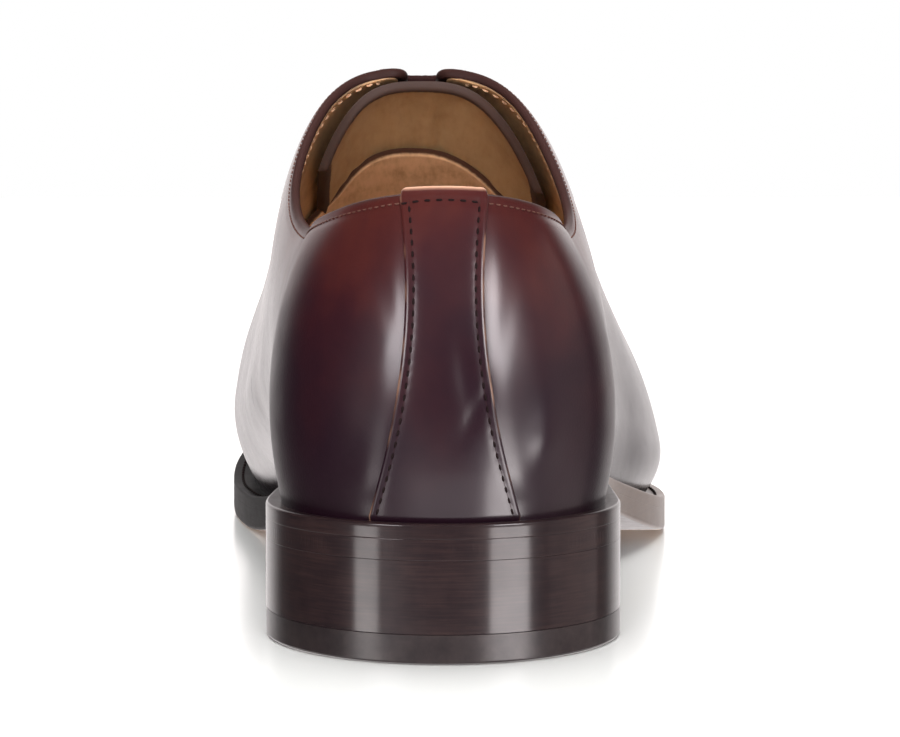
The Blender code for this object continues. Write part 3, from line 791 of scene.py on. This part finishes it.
def makeUpper():
    u = upper
    shrink = rimRadius / u["edgeRadius"]
    climbs = girthClimbs(columns, -1.0, belowRim(rimRadius), u["rows"])
    outer, outerNormal, _ = wallFrame(columns[:, None], climbs)
    settled = ease(np.linspace(0, 1, u["rows"] + 1) * 12)  # no relief in the welt's crease
    outer = outer + outerNormal * (leatherRelief(outer) * settled)[..., None]
    girth = np.linalg.norm(np.diff(outer, axis=1), axis=2)
    below = np.pad(np.cumsum(girth[:, ::-1], 1)[:, ::-1], ((0, 0), (0, 1))) + rimRadius[:, None]
    below = np.where(columnClosed[:, None], 60.0, below)
    outer = outer - outerNormal * (u["channel"] * bell(below - edgeStitch["drop"], 0.55))[..., None]
    roll = edgeRoll(rimPoint, rimNormal, rimUp, rimRadius, u["rollSteps"])
    folds = []
    for share in (0.5, 1.0):
        deep = rimRadius + u["turnedIn"] * shrink * share
        folds.append(rimPoint - rimUp * deep[:, None] - rimNormal * 2 * rimRadius[:, None])
    foldEnd = belowRim(rimRadius + (u["turnedIn"] + 0.3) * shrink)
    innerClimbs = girthClimbs(columns, -1.0, foldEnd, u["innerRows"])[:, ::-1]
    inner, innerNormal, _ = wallFrame(columns[:, None], innerClimbs)
    inner = inner - innerNormal * u["skin"]
    sunk = np.array([0, 0, u["seat"]])
    ring = np.concatenate(
        [outer[:, :1] - sunk, outer, roll, np.stack(folds, 1), inner, inner[:, -1:] - sunk], axis=1
    )
    rim = np.zeros(ring.shape[:2])
    rim[:, : u["rows"] + 2] = np.concatenate([below[:, :1], below], 1)
    rim[:, u["rows"] + u["rollSteps"] + 4 :] = 3.0
    first = u["rows"] + 1
    mesh = shellMesh("upperLeather", ring, (first, first + u["rollSteps"] + 3), {"rim": rim}, sharp=60.0)
    return addPiece("upperLeather", mesh, [upperSkin], ["upper"])


lining = {"outer": 1.4, "inner": 2.42, "rows": 46, "backRows": 10}


def makeLining():
    g = lining
    shrink = rimRadius / upper["edgeRadius"]
    top = belowRim(rimRadius + (upper["turnedIn"] - 0.5) * shrink)
    up = girthClimbs(columns, -1.0, top, g["backRows"])
    down = girthClimbs(columns, -1.0, top, g["rows"])[:, ::-1]
    back, backNormal, _ = wallFrame(columns[:, None], up)
    face, faceNormal, _ = wallFrame(columns[:, None], down)
    depth = np.full(face.shape[:2], g["inner"]) + 0.10 * waviness(face, 16.0, 9.1)
    depth[:, 0] = (g["inner"] + g["outer"]) / 2 + 0.3
    ring = np.concatenate([back - backNormal * g["outer"], face - faceNormal * depth[..., None]], 1)
    mesh = shellMesh("upperLining", ring, (g["backRows"], g["backRows"] + 1), sharp=60.0)
    return addPiece("upperLining", mesh, [liningSkin])


eyelets = {"rows": 5, "first": 140.0, "pitch": 9.8, "reach": 12.5, "hole": 4.2, "deep": 8.0, "sides": 20}


# each row of eyelets as places and climbs on the inside (-1) and the outside (1)
def eyeletSpots():
    y = eyelets["first"] + eyelets["pitch"] * np.arange(eyelets["rows"])
    spots = {}
    for side in (-1, 1):
        place = placeAt(side, y)
        spots[side] = (place, climbWhere(place, lambda distance, height: distance <= eyelets["reach"]))
    return spots


def punchEyelets(*shells):
    bm = bmesh.new()
    for place, climb in eyeletSpots().values():
        here, normal, _ = wallFrame(place, climb)
        for point, out in zip(here, normal):
            turn = Vector((0, 0, 1)).rotation_difference(Vector(out)).to_matrix().to_4x4()
            middle = toFrame(point - out * last["wall"] / 2)
            radius, depth = eyelets["hole"] / 2000, eyelets["deep"] / 1000
            bmesh.ops.create_cone(
                bm, cap_ends=True, segments=eyelets["sides"], radius1=radius, radius2=radius, depth=depth,
                matrix=Matrix.Translation(middle) @ turn,
            )
    mesh = bpy.data.meshes.new("eyeletPunch")
    bm.to_mesh(mesh)
    bm.free()
    punch = bpy.data.objects.new("eyeletPunch", mesh)
    bpy.context.scene.collection.objects.link(punch)
    for shell in shells:
        cut = shell.modifiers.new("eyelets", "BOOLEAN")
        cut.operation, cut.solver, cut.object = "DIFFERENCE", "EXACT", punch
        applyModifiers(shell)
    bpy.data.objects.remove(punch)


# strip over the back seam: its ground and the outward ways, from the foot over the collar to the inside
def stripGround(across):
    s = backStrip
    backPlace = np.zeros(1)
    backEdge = edgeClimb(backPlace)
    radius = upper["edgeRadius"]
    top = backEdge - radius / climbSpeed(backPlace, backEdge)
    climbs = girthClimbs(backPlace, s["foot"], top, s["rows"])[0]
    distance, height, _, _ = profile(np.zeros(len(climbs)), climbs)
    reach = np.linalg.norm(footEdge[0] - [crownX(spineY(footEdge[0, 1])), spineY(footEdge[0, 1])])
    half = stripHalfWidth(height)
    turn = half / heelPace * reach / distance
    places = np.stack([turn * a(half) for a in across], 1)
    ground, out, _ = wallFrame(places, climbs[:, None])
    ground = ground + out * leatherRelief(ground)[..., None] * 0.3
    ground[0, :, 2] -= s["seat"]
    topPlaces = places[-1]
    rim, normal, up = wallFrame(topPlaces, edgeClimb(topPlaces))
    angles = np.linspace(0, math.pi, s["rollRows"] + 1)[1:, None, None]
    swing = normal * np.cos(angles) + up * np.sin(angles)
    centre = rim - up * radius - normal * radius
    roll = centre + swing * radius
    down = np.linspace(0, s["inside"], 6)[1:, None, None]
    fold = roll[-1] - up * down
    ground = np.concatenate([ground, roll, fold])
    out = np.concatenate([out, swing, np.broadcast_to(-normal, fold.shape)])
    return ground, out, half


def makeBackStrip():
    s = backStrip
    nearEdge, sideLift = s["nearEdge"], s["sideLift"]
    seam = stripStitch["inset"]
    middle = np.linspace(-1, 1, s["middleColumns"] + 2)[1:-1]
    left = [lambda half, d=d: -(half - d) / half for d in nearEdge]
    centre = [lambda half, m=m: m * (half - nearEdge[-1]) / half for m in middle]
    right = [lambda half, d=d: (half - d) / half for d in reversed(nearEdge)]
    ground, out, half = stripGround(left + centre + right)
    rows, cols = ground.shape[:2]
    n = len(nearEdge)
    halfAll = np.concatenate([half, np.full(rows - len(half), half[-1])])
    inward = np.concatenate([nearEdge, middle * 0, nearEdge[::-1]])[None, :].repeat(rows, 0)
    inward[:, n:-n] = halfAll[:, None] - np.abs(middle) * (halfAll[:, None] - nearEdge[-1])
    run = travel(ground[:, cols // 2])
    outside = ease((run[s["rows"]] + 1.0 - run) / 2.0)
    pucker = 0.8 + 0.2 * np.cos(2 * math.pi * run / stripStitch["pitch"])
    groove = bell(inward - seam, 0.6) * (pucker * outside)[:, None]
    bead = s["bead"] * bell(inward - 0.75, 0.45)
    seamRun = run[s["rows"]] - s["seamDrop"]
    cross = bell(run - seamRun, 0.6)[:, None] * (inward > 0.5)
    lift = s["thickness"] + bead - s["groove"] * (groove + cross) - 0.9 * foldDepth(ground)
    lift[:, : len(sideLift)] = sideLift
    lift[:, -len(sideLift) :] = sideLift[::-1]
    tip = np.minimum(run, run[-1] - run)
    lift = np.where(tip[:, None] < 0.3, np.minimum(lift, -0.1), lift)
    outer = ground + out * lift[..., None]
    inner = ground - out * 0.2
    raw = np.zeros((rows, cols))
    worn = ease(0.5 + 1.6 * waviness(ground, 5.0, 1.9))
    raw[:, 1:5] = raw[:, -5:-1] = s["rawEdge"]
    raw = raw * worn * outside[:, None]
    raw = np.maximum(raw, ease((run - run[s["rows"]] - 0.3) / 0.6)[:, None])
    sewn = np.maximum(bell(inward - seam, 0.5) * outside[:, None], cross)
    rim = 30.0 - 29.3 * sewn  # the sewn rows are as dull as the collar's edge
    values = {"raw": (raw, raw * 0), "rim": (rim, rim)}
    mesh = pillowMesh("backStripLeather", outer, inner, values, sharp=70.0)
    addPiece("backStripLeather", mesh, [stripSkin], ["back_strip"])
    # lines for the stitches: up both edges, and across the top
    lines = []
    for side in (-1, 1):
        g, o, _ = stripGround([lambda half: side * (half - seam) / half])
        keep = slice(3, s["rows"] - 3)
        lines.append((g[keep, 0] + o[keep, 0] * (s["thickness"] - 0.06), o[keep, 0]))
    spread = np.linspace(-0.9, 0.9, 40)
    g, o, _ = stripGround([lambda half, m=m: np.full(len(half), m) for m in spread])
    row = int(np.argmin(np.abs(run - seamRun)))
    lines.append((g[row] + o[row] * (s["thickness"] - 0.06), o[row]))
    return lines


# Stitches

# one small arched tube for each stitch along the lines
def stitchMesh(name, lines, stitch, lead=0.5):
    pitch, length, height = stitch["pitch"], stitch["length"], stitch["height"]
    rings, sides = 6, 8
    bow = np.linspace(-1, 1, rings + 1)
    girth = np.sqrt(np.maximum(1 - bow**4, 0.03)) * stitch["width"] / 2
    angle = np.arange(sides) * 2 * math.pi / sides
    tube = cappedFaces(rings + 1, sides)
    points, faces = [], []
    for line, normals in lines:
        run = travel(line)
        centres = np.arange(pitch * lead, run[-1], pitch)
        at = lambda v, values: np.stack([np.interp(v, run, values[:, k]) for k in range(3)], -1)
        for c in centres:
            middle, up = at(c, line), unit(at(c, normals))
            ahead = unit(at(c + 0.4 * pitch, line) - at(c - 0.4 * pitch, line))
            side = unit(np.cross(up, ahead))
            faces += [[len(points) + k for k in face] for face in tube]
            for b, g in zip(bow, girth):
                core = middle + ahead * b * length / 2 + up * height * (1 - 1.1 * b * b)
                points += [core + (side * math.cos(a) + up * math.sin(a)) * g for a in angle]
    return meshFrom(name, np.array(points), faces, merge=1e-8)


facingStitch = {"reach": 19.5, "pitch": 1.7, "length": 1.1, "width": 0.34, "height": 0.0}
liningStitch = {
    "start": 30.0,
    "drop": 8.2,
    "lift": 0.1,
    "pitch": 2.6,
    "length": 1.6,
    "width": 0.60,
    "height": 0.10,
}


# line along the edge of the collar and facing, on one side, at a girth below the edge
def edgeLine(side, drop, start, end, lift):
    y = np.arange(start, end, 0.5)
    place = placeAt(side, y)
    climb = edgeClimb(place)
    climb = climb - drop / climbSpeed(place, climb)
    here, normal, _ = wallFrame(place, climb)
    if lift >= 0:
        return here + normal * (leatherRelief(here)[:, None] + lift), normal
    return here + normal * lift, -normal


def facingLine(side, reach):
    y = np.arange(last["facingTop"] + 5.0, last["facingBottom"] + 3.0, 0.5)
    close = 1 - ease((y - last["facingBottom"] + 14.0) / 17.0)
    place = placeAt(side, y)
    wanted = 1.2 + (reach - 1.2) * np.sqrt(close)
    climb = climbWhere(place, lambda distance, height: distance <= wanted)
    here, normal, _ = wallFrame(place, climb)
    return here + normal * leatherRelief(here)[:, None], normal


def makeStitches(stripLines):
    collarLines, facingLines, liningLines = [], [], []
    for side in (-1, 1):
        start = along(footEdge, np.array([side * edgeStitch["aside"] / heelPace]))[0, 1] + 0.3
        collarLines.append(edgeLine(side, edgeStitch["drop"], start, last["facingBottom"] - 8.0, 0.0))
        facingLines.append(facingLine(side, facingStitch["reach"]))
        inside = -lining["inner"] - liningStitch["lift"]
        end = last["facingTop"] + 4.0
        liningLines.append(edgeLine(side, liningStitch["drop"], liningStitch["start"], end, inside))
    rows = {
        "stripStitches": (stripLines, stripStitch, darkThread, 0.0),
        "collarStitches": (collarLines, edgeStitch, rustThread, 0.5),
        "facingStitches": (facingLines, facingStitch, darkThread, 0.5),
        "liningStitches": (liningLines, liningStitch, peachThread, 0.5),
    }
    for name, (lines, stitch, thread, lead) in rows.items():
        addPiece(name, stitchMesh(name, lines, stitch, lead), [thread])


upperLeather = makeUpper()
upperLining = makeLining()
punchEyelets(upperLeather, upperLining)
print("upper:", len(upperLeather.data.polygons), "faces, lining:", len(upperLining.data.polygons))
makeStitches(makeBackStrip())
print("back strip and stitches done")

# Tongue and the lining's edge under it

tongue = {
    "clearance": 0.5,
    "stand": 2.4,  # how much further its top stands off the facings, away from its peak
    "peak": 0.42,
    "thickness": 2.0,
    "top": 129.5,
    "foot": 190.5,
    "topSwing": 0.40,
    "footSwing": 0.62,
    "rounding": 3.0,
    "rows": 70,
    "cols": 110,
    "edge": 1.3,  # width of the rounded rim
    "halfWidth": 30.0,
    "creases": 0.4,
    "creasesSpread": 0.55,
    "creasesFrom": 3.0,  # below the top
    "unevenness": 0.15,
}


def rounded(rim, width):  # a rounded rim: 0 at the edge, 1 from the width in
    return np.sqrt(1 - (1 - np.clip(rim / width, 0, 1)) ** 2)


def shareGrid(rows, cols, power=1.0):
    shares, sides = np.linspace(0, 1, rows + 1) ** power, np.linspace(-1, 1, cols + 1)
    return np.meshgrid(shares, sides, indexing="ij")


def throatGround(y, across, swing):  # points of the last and normals, across the crown
    place = np.where(across > 0, placeAt(1, y), placeAt(-1, y))
    return wallFrame(place, 1 - np.abs(across) * (1 - swing))[:2]


def makeTongue():
    t = tongue
    share, across = shareGrid(t["rows"], t["cols"], 1.3)  # closer rows near the top
    rounding = (1 - share) * t["rounding"] * np.abs(across) ** 3
    y = t["top"] + rounding + (t["foot"] - t["top"] - rounding) * share
    here, normal = throatGround(y, across, t["topSwing"] + (t["footSwing"] - t["topSwing"]) * share)
    stand = (1 - share) * t["stand"] * (1 - bell(across, t["peak"]))
    outer = here - normal * (last["wall"] + t["clearance"] + stand)[..., None]
    fromTop = share * (t["foot"] - t["top"])
    fromSide = (1 - np.abs(across)) * t["halfWidth"]
    fromFoot = (1 - share) * (t["foot"] - t["top"])
    rim = np.minimum(np.minimum(fromTop, fromSide), fromFoot)
    crease = np.sin(across * 26 + 1.6 * np.sin(across * 9)) * bell(across, t["creasesSpread"])
    crease = crease * ease((fromTop - t["creasesFrom"]) / 8)
    thick = t["thickness"] + t["creases"] * crease + t["unevenness"] * waviness(here, 9.0, 5.3)
    inner = outer - normal * (thick * rounded(rim, t["edge"]))[..., None]
    band = np.minimum(fromTop, fromSide)
    ones = np.ones(rim.shape)
    values = {"rim": (band, band), "face": (ones * (rim > 0.4), ones * 0)}
    mesh = pillowMesh("tongueLeather", outer, inner, values, sharp=75.0)
    addPiece("tongueLeather", mesh, [tongueSkin], ["tongue"])


vampLining = {
    "edge": 157.0,
    "bow": 17.0,
    "aside": 0.10,
    "end": 196.0,
    "swing": 0.34,
    "thickness": 1.1,
    "gap": 0.8,  # clear of the tongue's creases
    "halfWidth": 40.0,
    "rim": 0.9,  # width of the rounded rim
    "rows": 40,
    "cols": 90,
}


# the vamp's own lining, sewn over the tongue's foot on the inside
def makeVampLining():
    v = vampLining
    share, across = shareGrid(v["rows"], v["cols"])
    start = v["edge"] + v["bow"] * (across + v["aside"]) ** 2
    y = start + (v["end"] - start) * share
    here, normal = throatGround(y, across, v["swing"])
    under = tongue["clearance"] + tongue["thickness"] + v["gap"]
    flush = last["wall"] + 0.1 + under * (1 - ease((np.abs(across) - 0.55) / 0.35))
    outer = here - normal * flush[..., None]
    rim = np.minimum(y - start, (1 - np.abs(across)) * v["halfWidth"])
    rim = np.minimum(rim, v["end"] - y)
    inner = outer - normal * (v["thickness"] * rounded(rim, v["rim"]))[..., None]
    # rim carries the distance back from the front edge, where the painted shadow line is drawn
    values = {"rim": (y - start, y - start), "face": (rim * 0, rim * 0)}
    mesh = pillowMesh("vampLining", outer, inner, values, sharp=75.0)
    addPiece("vampLining", mesh, [vampSkin])


makeTongue()
makeVampLining()
print("tongue done")

# Sole and heel

# solid on the sole's plan; layers are (pull in from the edge, share of the way out, height over y)
def plateGrid(outline, layers):
    foot = along(footEdge, columns)
    spine = np.stack([crownX(spineY(foot[:, 1])), spineY(foot[:, 1])], -1)
    rimAt = along(outline, columns)
    rows = []
    for pull, share, height in layers:
        rim = rimAt + unit(spine - rimAt) * np.reshape(pull, (-1, 1))
        flat = spine * (1 - share) + rim * share
        rows.append(lifted(flat, height(flat[:, 1])))
    return np.stack(rows, 1)


outsole = {
    "bevel": 0.9,
    "heelBevel": 0.05,
    "topRound": 0.05,
    "treadSteps": 9,
    "wall": [0.0, 0.025, 0.2, 0.4, 0.6, 0.8, 0.975, 1.0],  # rows down the edge
}


def makeOutsole():
    o = outsole
    top = lambda y: outsoleTop(y) + 0.15
    rim = along(edge, columns)
    forward = ease((rim[:, 1] - soleLayers["breast"] + 6) / 12)
    bevel = o["heelBevel"] + (o["bevel"] - o["heelBevel"]) * forward
    low = lambda y, share: treadHeight(y) + bevel * share
    layers = [(0.0, 0.0, top), (0.0, 0.6, top), (o["topRound"], 1.0, top)]
    for share in o["wall"]:
        layers.append((0.0, 1.0, lambda y, s=share: (top(y) - o["topRound"]) * (1 - s) + low(y, 1.0) * s))
    for k in range(1, 5):
        a = k * math.pi / 8
        layers.append((bevel * (1 - math.cos(a)), 1.0, lambda y, s=1 - math.sin(a): low(y, s)))
    for k in range(1, o["treadSteps"] + 1):
        layers.append((bevel, 1 - k / o["treadSteps"], treadHeight))
    grid = plateGrid(edge, layers)
    lift = grid[..., 2] - treadHeight(grid[..., 1])
    run = travel(rim)[:, None].repeat(grid.shape[1], 1)
    mesh = gridMesh("outsoleLeather", grid, closedRows=True, values={"run": run, "lift": lift}, sharp=50.0)
    addPiece("outsoleLeather", mesh, [outsoleEdgeSkin, treadSkin], ["outsole"])
    breast = (soleLayers["breast"] - soleLayers["breastHollow"] - frameShift[1]) * 0.001
    for face in mesh.polygons:
        face.material_index = int(face.normal.z < -0.9 and face.center.y > breast)


insole = {"dish": 0.6, "cup": 0.5, "meets": -0.92, "tuck": 0.2, "steps": 16}


def makeInsole():
    under = lambda y: outsoleTop(y) + last["gap"]
    over = lambda y: weltTop(y) + soleLayers["insoleRise"]
    here, normal, _ = wallFrame(columns, insole["meets"])  # climb at which the sock meets the lining
    touch = here - normal * (lining["inner"] - insole["tuck"])
    flare = np.linalg.norm(touch[:, :2] - along(insoleEdge, columns), axis=1)
    layers = []
    for k in range(insole["steps"] + 1):
        share = k / insole["steps"]
        dish = insole["dish"] * (1 - share**2)
        cup = insole["cup"] * ease((share - 0.85) / 0.15)  # the sock's rim turns up to the wall
        layers.append((-flare * share**8, share, lambda y, d=dish, c=cup: over(y) - d + c))
    layers += [(0.0, 1.0, under), (0.0, 0.5, under), (0.0, 0.0, under)]
    mesh = gridMesh("sockInsole", plateGrid(insoleEdge, layers), closedRows=True, sharp=60.0)
    addPiece("sockInsole", mesh, [sockSkin], ["insole"])


welt = {"round": 0.5, "slope": 0.25}
weltStitch = {"start": 84.0, "inset": 2.3, "pitch": 2.9, "length": 2.1, "width": 0.7, "height": 0.12}


def weltRing(pull, height):
    rim, inner = along(edge, columns), along(weltInner, columns)
    flat = rim + unit(inner - rim) * pull
    return lifted(flat, height(flat[:, 1]))


def makeWelt():
    w = welt
    low = lambda y: outsoleTop(y) + 0.12
    rings = []
    for pull, rise in ((0.05, 0.0), (0.0, 0.06), (0.0, 0.15)):
        rings.append(weltRing(pull, lambda y, r=rise: low(y) + r))
    rings.append(weltRing(0.0, lambda y: weltTop(y) - w["round"] - 0.4))
    for k in range(6):
        a = k * math.pi / 10
        pull, rise = w["round"] * (1 - math.cos(a)), w["round"] * (math.sin(a) - 1)
        rings.append(weltRing(pull, lambda y, r=rise: weltTop(y) + r))
    rings.append(weltRing(2.0, lambda y: weltTop(y) - 0.12))
    rings.append(weltRing(3.0, lambda y: weltTop(y) - w["slope"]))
    inner = along(weltInner, columns)
    for height in (weltTop(inner[:, 1]) - w["slope"], low(inner[:, 1])):
        rings.append(lifted(inner, height))
    mesh = gridMesh("weltLeather", np.stack(rings, 1), closedRows=True, closedCols=True, sharp=50.0)
    addPiece("weltLeather", mesh, [weltSkin], ["welt"])
    line = weltRing(weltStitch["inset"], lambda y: weltTop(y) - 0.16)
    up = np.tile([0.0, 0.0, 1.0], (len(line), 1))
    half = len(columns) // 2
    order = np.concatenate([np.arange(half, len(columns)), np.arange(0, half)])
    keep = order[line[order, 1] > weltStitch["start"]]
    mesh = stitchMesh("weltStitches", [(line[keep], up[keep])], weltStitch)
    addPiece("weltStitches", mesh, [darkThread])


heel = {
    "rimSteps": 200,
    "breastSteps": 48,
    "bevel": 0.05,
    "lifts": [9.4, 13.7],
    "groove": 0.003,
    "grooveHalf": 0.06,
    "footBevel": 0.5,
}


def heelOutline(pull):
    count = len(edge)
    index = np.arange(count)
    outside = index[(index < count // 2) & (edge[:, 1] <= soleLayers["breast"])].max()
    inside = index[(index >= count // 2) & (edge[:, 1] <= soleLayers["breast"])].min() - count
    rim = along(edge, np.linspace(inside, outside, heel["rimSteps"] + 1))
    x = np.linspace(rim[-1, 0], rim[0, 0], heel["breastSteps"] + 1)[1:-1]
    y = soleLayers["breast"] - soleLayers["breastHollow"] * (1 - (2 * x / last["heelWidth"]) ** 2)
    return inset(np.concatenate([rim, np.stack([x, y], 1)]), pull)


def prismMesh(name, layers):
    rings = [lifted(heelOutline(pull), height) for pull, height in layers]
    faces = cappedFaces(len(rings), len(rings[0]))
    return meshFrom(name, np.concatenate(rings), faces, sharp=25.0)


def makeHeel():
    h = heel
    low, high = soleLayers["topPiece"] + 0.05, soleLayers["seat"] - 0.02
    layers = [(h["bevel"], low), (0.0, low + h["bevel"]), (0.0, low + 3 * h["bevel"])]
    for lift in h["lifts"]:
        for step, pull in ((-3, 0.0), (-1, 0.0), (0, h["groove"]), (1, 0.0), (3, 0.0)):
            layers.append((pull, lift + step * h["grooveHalf"]))
    layers += [(0.0, high - 3 * h["bevel"]), (0.0, high - h["bevel"]), (h["bevel"], high)]
    addPiece("heelLifts", prismMesh("heelLifts", layers), [heelSkin], ["heel_stack"])
    top = soleLayers["topPiece"]
    layers = [(h["footBevel"], 0.0), (0.15, 0.2), (0.0, h["footBevel"]), (0.0, 2 * h["footBevel"])]
    layers += [(0.0, top - 0.4), (0.0, top - 0.06), (0.06, top)]
    mesh = prismMesh("heelTopPiece", layers)
    addPiece("heelTopPiece", mesh, [topPieceSkin], ["heel_top_piece"])


makeOutsole()
makeInsole()
makeWelt()
makeHeel()
print("sole and heel done")

# Laces

lace = {
    "thick": 2.4,
    "lift": 0.35,
    "tuck": 0.95,
    "shoulder": 0.8,
    "stops": [0.18, 0.5, 0.85],  # shares of the way from the eyelet to the middle
    "sag": 0.8,  # pulled straight between the facings
    "sides": 18,
    "steps": 90,
    "braid": 0.07,
    "strands": 3,
    "twist": 1.9,
}


def smoothRun(points, steps):  # Catmull-Rom through the points
    p = np.concatenate([[2 * points[0] - points[1]], points, [2 * points[-1] - points[-2]]])
    t = np.linspace(0, len(points) - 1 - 1e-6, steps)
    i = np.floor(t).astype(int)
    u = (t - i)[:, None]
    a, b, c, d = p[i], p[i + 1], p[i + 2], p[i + 3]
    return 0.5 * (2 * b + (c - a) * u + (2 * a - 5 * b + 4 * c - d) * u**2 + (3 * b - a - 3 * c + d) * u**3)


def makeLaces():
    spots = eyeletSpots()
    above = lace["thick"] / 2 + lace["lift"]
    for row in range(eyelets["rows"]):
        path = []
        for side in (-1, 1):
            place, climb = spots[side][0][row], spots[side][1][row]
            here, normal, _ = wallFrame(place, climb)
            lifts = (-last["wall"] * lace["tuck"], -0.4, above * lace["shoulder"])
            half = [here + normal * lift for lift in lifts]
            for stop in lace["stops"]:
                over, out, _ = wallFrame(place, climb + (1 - climb) * stop)
                half.append(over + out * (above - lace["sag"] * ease((stop - 0.5) / 0.35)))
            path += half if side < 0 else half[::-1]
        run = smoothRun(np.array(path), lace["steps"])
        ahead = unit(np.gradient(run, axis=0))
        side = unit(np.cross(ahead, [0.0, 1.0, 0.3]))
        up = np.cross(side, ahead)
        angle = np.arange(lace["sides"]) * 2 * math.pi / lace["sides"]
        length = np.cumsum(np.linalg.norm(np.gradient(run, axis=0), axis=1))[:, None]
        twist = length * lace["twist"]
        weave = np.cos(lace["strands"] * (angle + twist)) * np.cos(lace["strands"] * (angle - twist))
        radius = lace["thick"] / 2 * (1 - lace["braid"] + lace["braid"] * weave)
        ring = side[:, None] * np.cos(angle)[None, :, None] + up[:, None] * np.sin(angle)[None, :, None]
        grid = run[:, None] + ring * radius[..., None]
        name = f"laceBar{row + 1}"
        mesh = meshFrom(name, grid.reshape(-1, 3), cappedFaces(*grid.shape[:2]), sharp=70.0)
        addPiece(name, mesh, [laceSkin], [f"lace_bar_{row + 1}"])


makeLaces()
print("laces done")

# Floor, light and camera

studio = {
    "floor": (0.60, 0.60, 0.59),
    "floorRoughness": 0.20,
    "glowFrom": 0.35,  # the floor glows white further out
    "glowTo": 1.3,
    "behindCamera": 0.02,
    "backdrop": 1.6,
    "overhead": 0.06,
    "fromBelow": 1.3,
    "seen": 1.0,
    "wallTint": (1.0, 0.945, 0.94),
}
# place, width and height in metres, watts and tint
softboxes = {
    "highLeft": {"at": (-0.84, -1.08, 0.34), "size": (0.44, 0.36), "power": 12.5, "tint": (1, 0.97, 1)},
    "highRight": {"at": (0.96, -1.02, 0.42), "size": (0.50, 0.50), "power": 26.0, "tint": (1, 0.95, 0.97)},
    "lowLeft": {"at": (-0.96, -0.78, -0.27), "size": (0.36, 0.36), "power": 5.5, "tint": (1, 0.95, 0.94)},
    "lowRight": {"at": (0.87, -0.94, -0.27), "size": (0.62, 0.36), "power": 13.0, "tint": (1, 0.94, 0.94)},
    "under": {"at": (0.25, -1.6, -0.54), "size": (4.2, 0.52), "power": 15.0, "tint": (1, 0.92, 0.94)},
    "sideRight": {"at": (1.1, 0.05, 0.10), "size": (0.9, 0.9), "power": 2.2, "tint": (1, 0.80, 0.78)},
    "overhead": {"at": (0.0, 0.05, 1.35), "size": (1.0, 1.0), "power": 38.0, "tint": (1, 1, 1)},
    "fill": {"at": (0.0, -0.95, 0.42), "size": (0.8, 0.5), "power": 16.0, "tint": (1, 1, 1)},
}
colourOnly = ("overhead", "fill")  # these light the plain colour, the others the sheen
lightAim = (0.0, -0.12, 0.05)
photoView = {"eye": (-0.0062, -0.633, 0.0865), "target": (0.0006, -0.033, 0.0432), "lens": 112.0}


def makeFloor():
    bpy.ops.mesh.primitive_circle_add(vertices=96, radius=7.0, fill_type="NGON", location=(0, 0, -0.0002))
    floor = bpy.context.object
    floor.name = "floor"
    at, finish = newMaterial("paleFloor", {"Roughness": studio["floorRoughness"], "Emission Strength": 1.0})
    flat = at.scaled(0.001, 0.001, 0.0)
    out = flat.node("VectorMath", {"operation": "LENGTH"}, {0: flat}, out=1)
    glow = out.fade(studio["glowFrom"], studio["glowTo"]).mix((0.0, 0.0, 0.0), (1.0, 1.0, 1.0))
    floor.data.materials.append(finish(Base_Color=studio["floor"], Emission_Color=glow))
    floor.visible_glossy = floor.visible_shadow = False  # no white haze on the dark polish


def makeWorld():
    world = bpy.data.worlds.new("studio")
    bpy.context.scene.world = world
    world.use_nodes = True
    tree = world.node_tree
    back = tree.nodes["Background"]
    way = Sock(tree, tree.nodes.new("ShaderNodeTexCoord").outputs["Generated"])
    seen = Sock(tree, tree.nodes.new("ShaderNodeLightPath").outputs["Is Camera Ray"])
    ahead = way.axis("Y").fade(0.66, 0.90)
    light = ahead * (studio["backdrop"] - studio["behindCamera"]) + studio["behindCamera"]
    light = light + way.axis("Z").fade(0.35, 0.95) * studio["overhead"]
    light = light + way.axis("Z").fade(-0.15, -0.5) * studio["fromBelow"]
    strength = light * (1 - seen) + seen * studio["seen"]
    seen.feed(back.inputs["Color"], seen.mix(studio["wallTint"], (1.0, 1.0, 1.0)))
    seen.feed(back.inputs["Strength"], strength)


def placeAimed(holder, place, target):
    holder.location = place
    holder.rotation_euler = (Vector(target) - Vector(place)).to_track_quat("-Z", "Y").to_euler()
    bpy.context.scene.collection.objects.link(holder)


def makeLights():
    for name, box in softboxes.items():
        lamp = bpy.data.lights.new(name, "AREA")
        lamp.shape = "RECTANGLE"
        lamp.size, lamp.size_y = box["size"]
        lamp.energy, lamp.color = box["power"], box["tint"]
        holder = bpy.data.objects.new(name, lamp)
        placeAimed(holder, box["at"], lightAim)
        holder.visible_camera = False
        holder.visible_diffuse, holder.visible_glossy = name in colourOnly, name not in colourOnly


def makeCamera():
    lens = bpy.data.cameras.new("camera")
    lens.lens = photoView["lens"]
    lens.clip_start = 0.01
    camera = bpy.data.objects.new("camera", lens)
    placeAimed(camera, photoView["eye"], photoView["target"])
    bpy.context.scene.camera = camera


makeFloor()
makeWorld()
makeLights()
makeCamera()
bpy.context.scene.view_settings.view_transform = "Standard"
print("studio done")
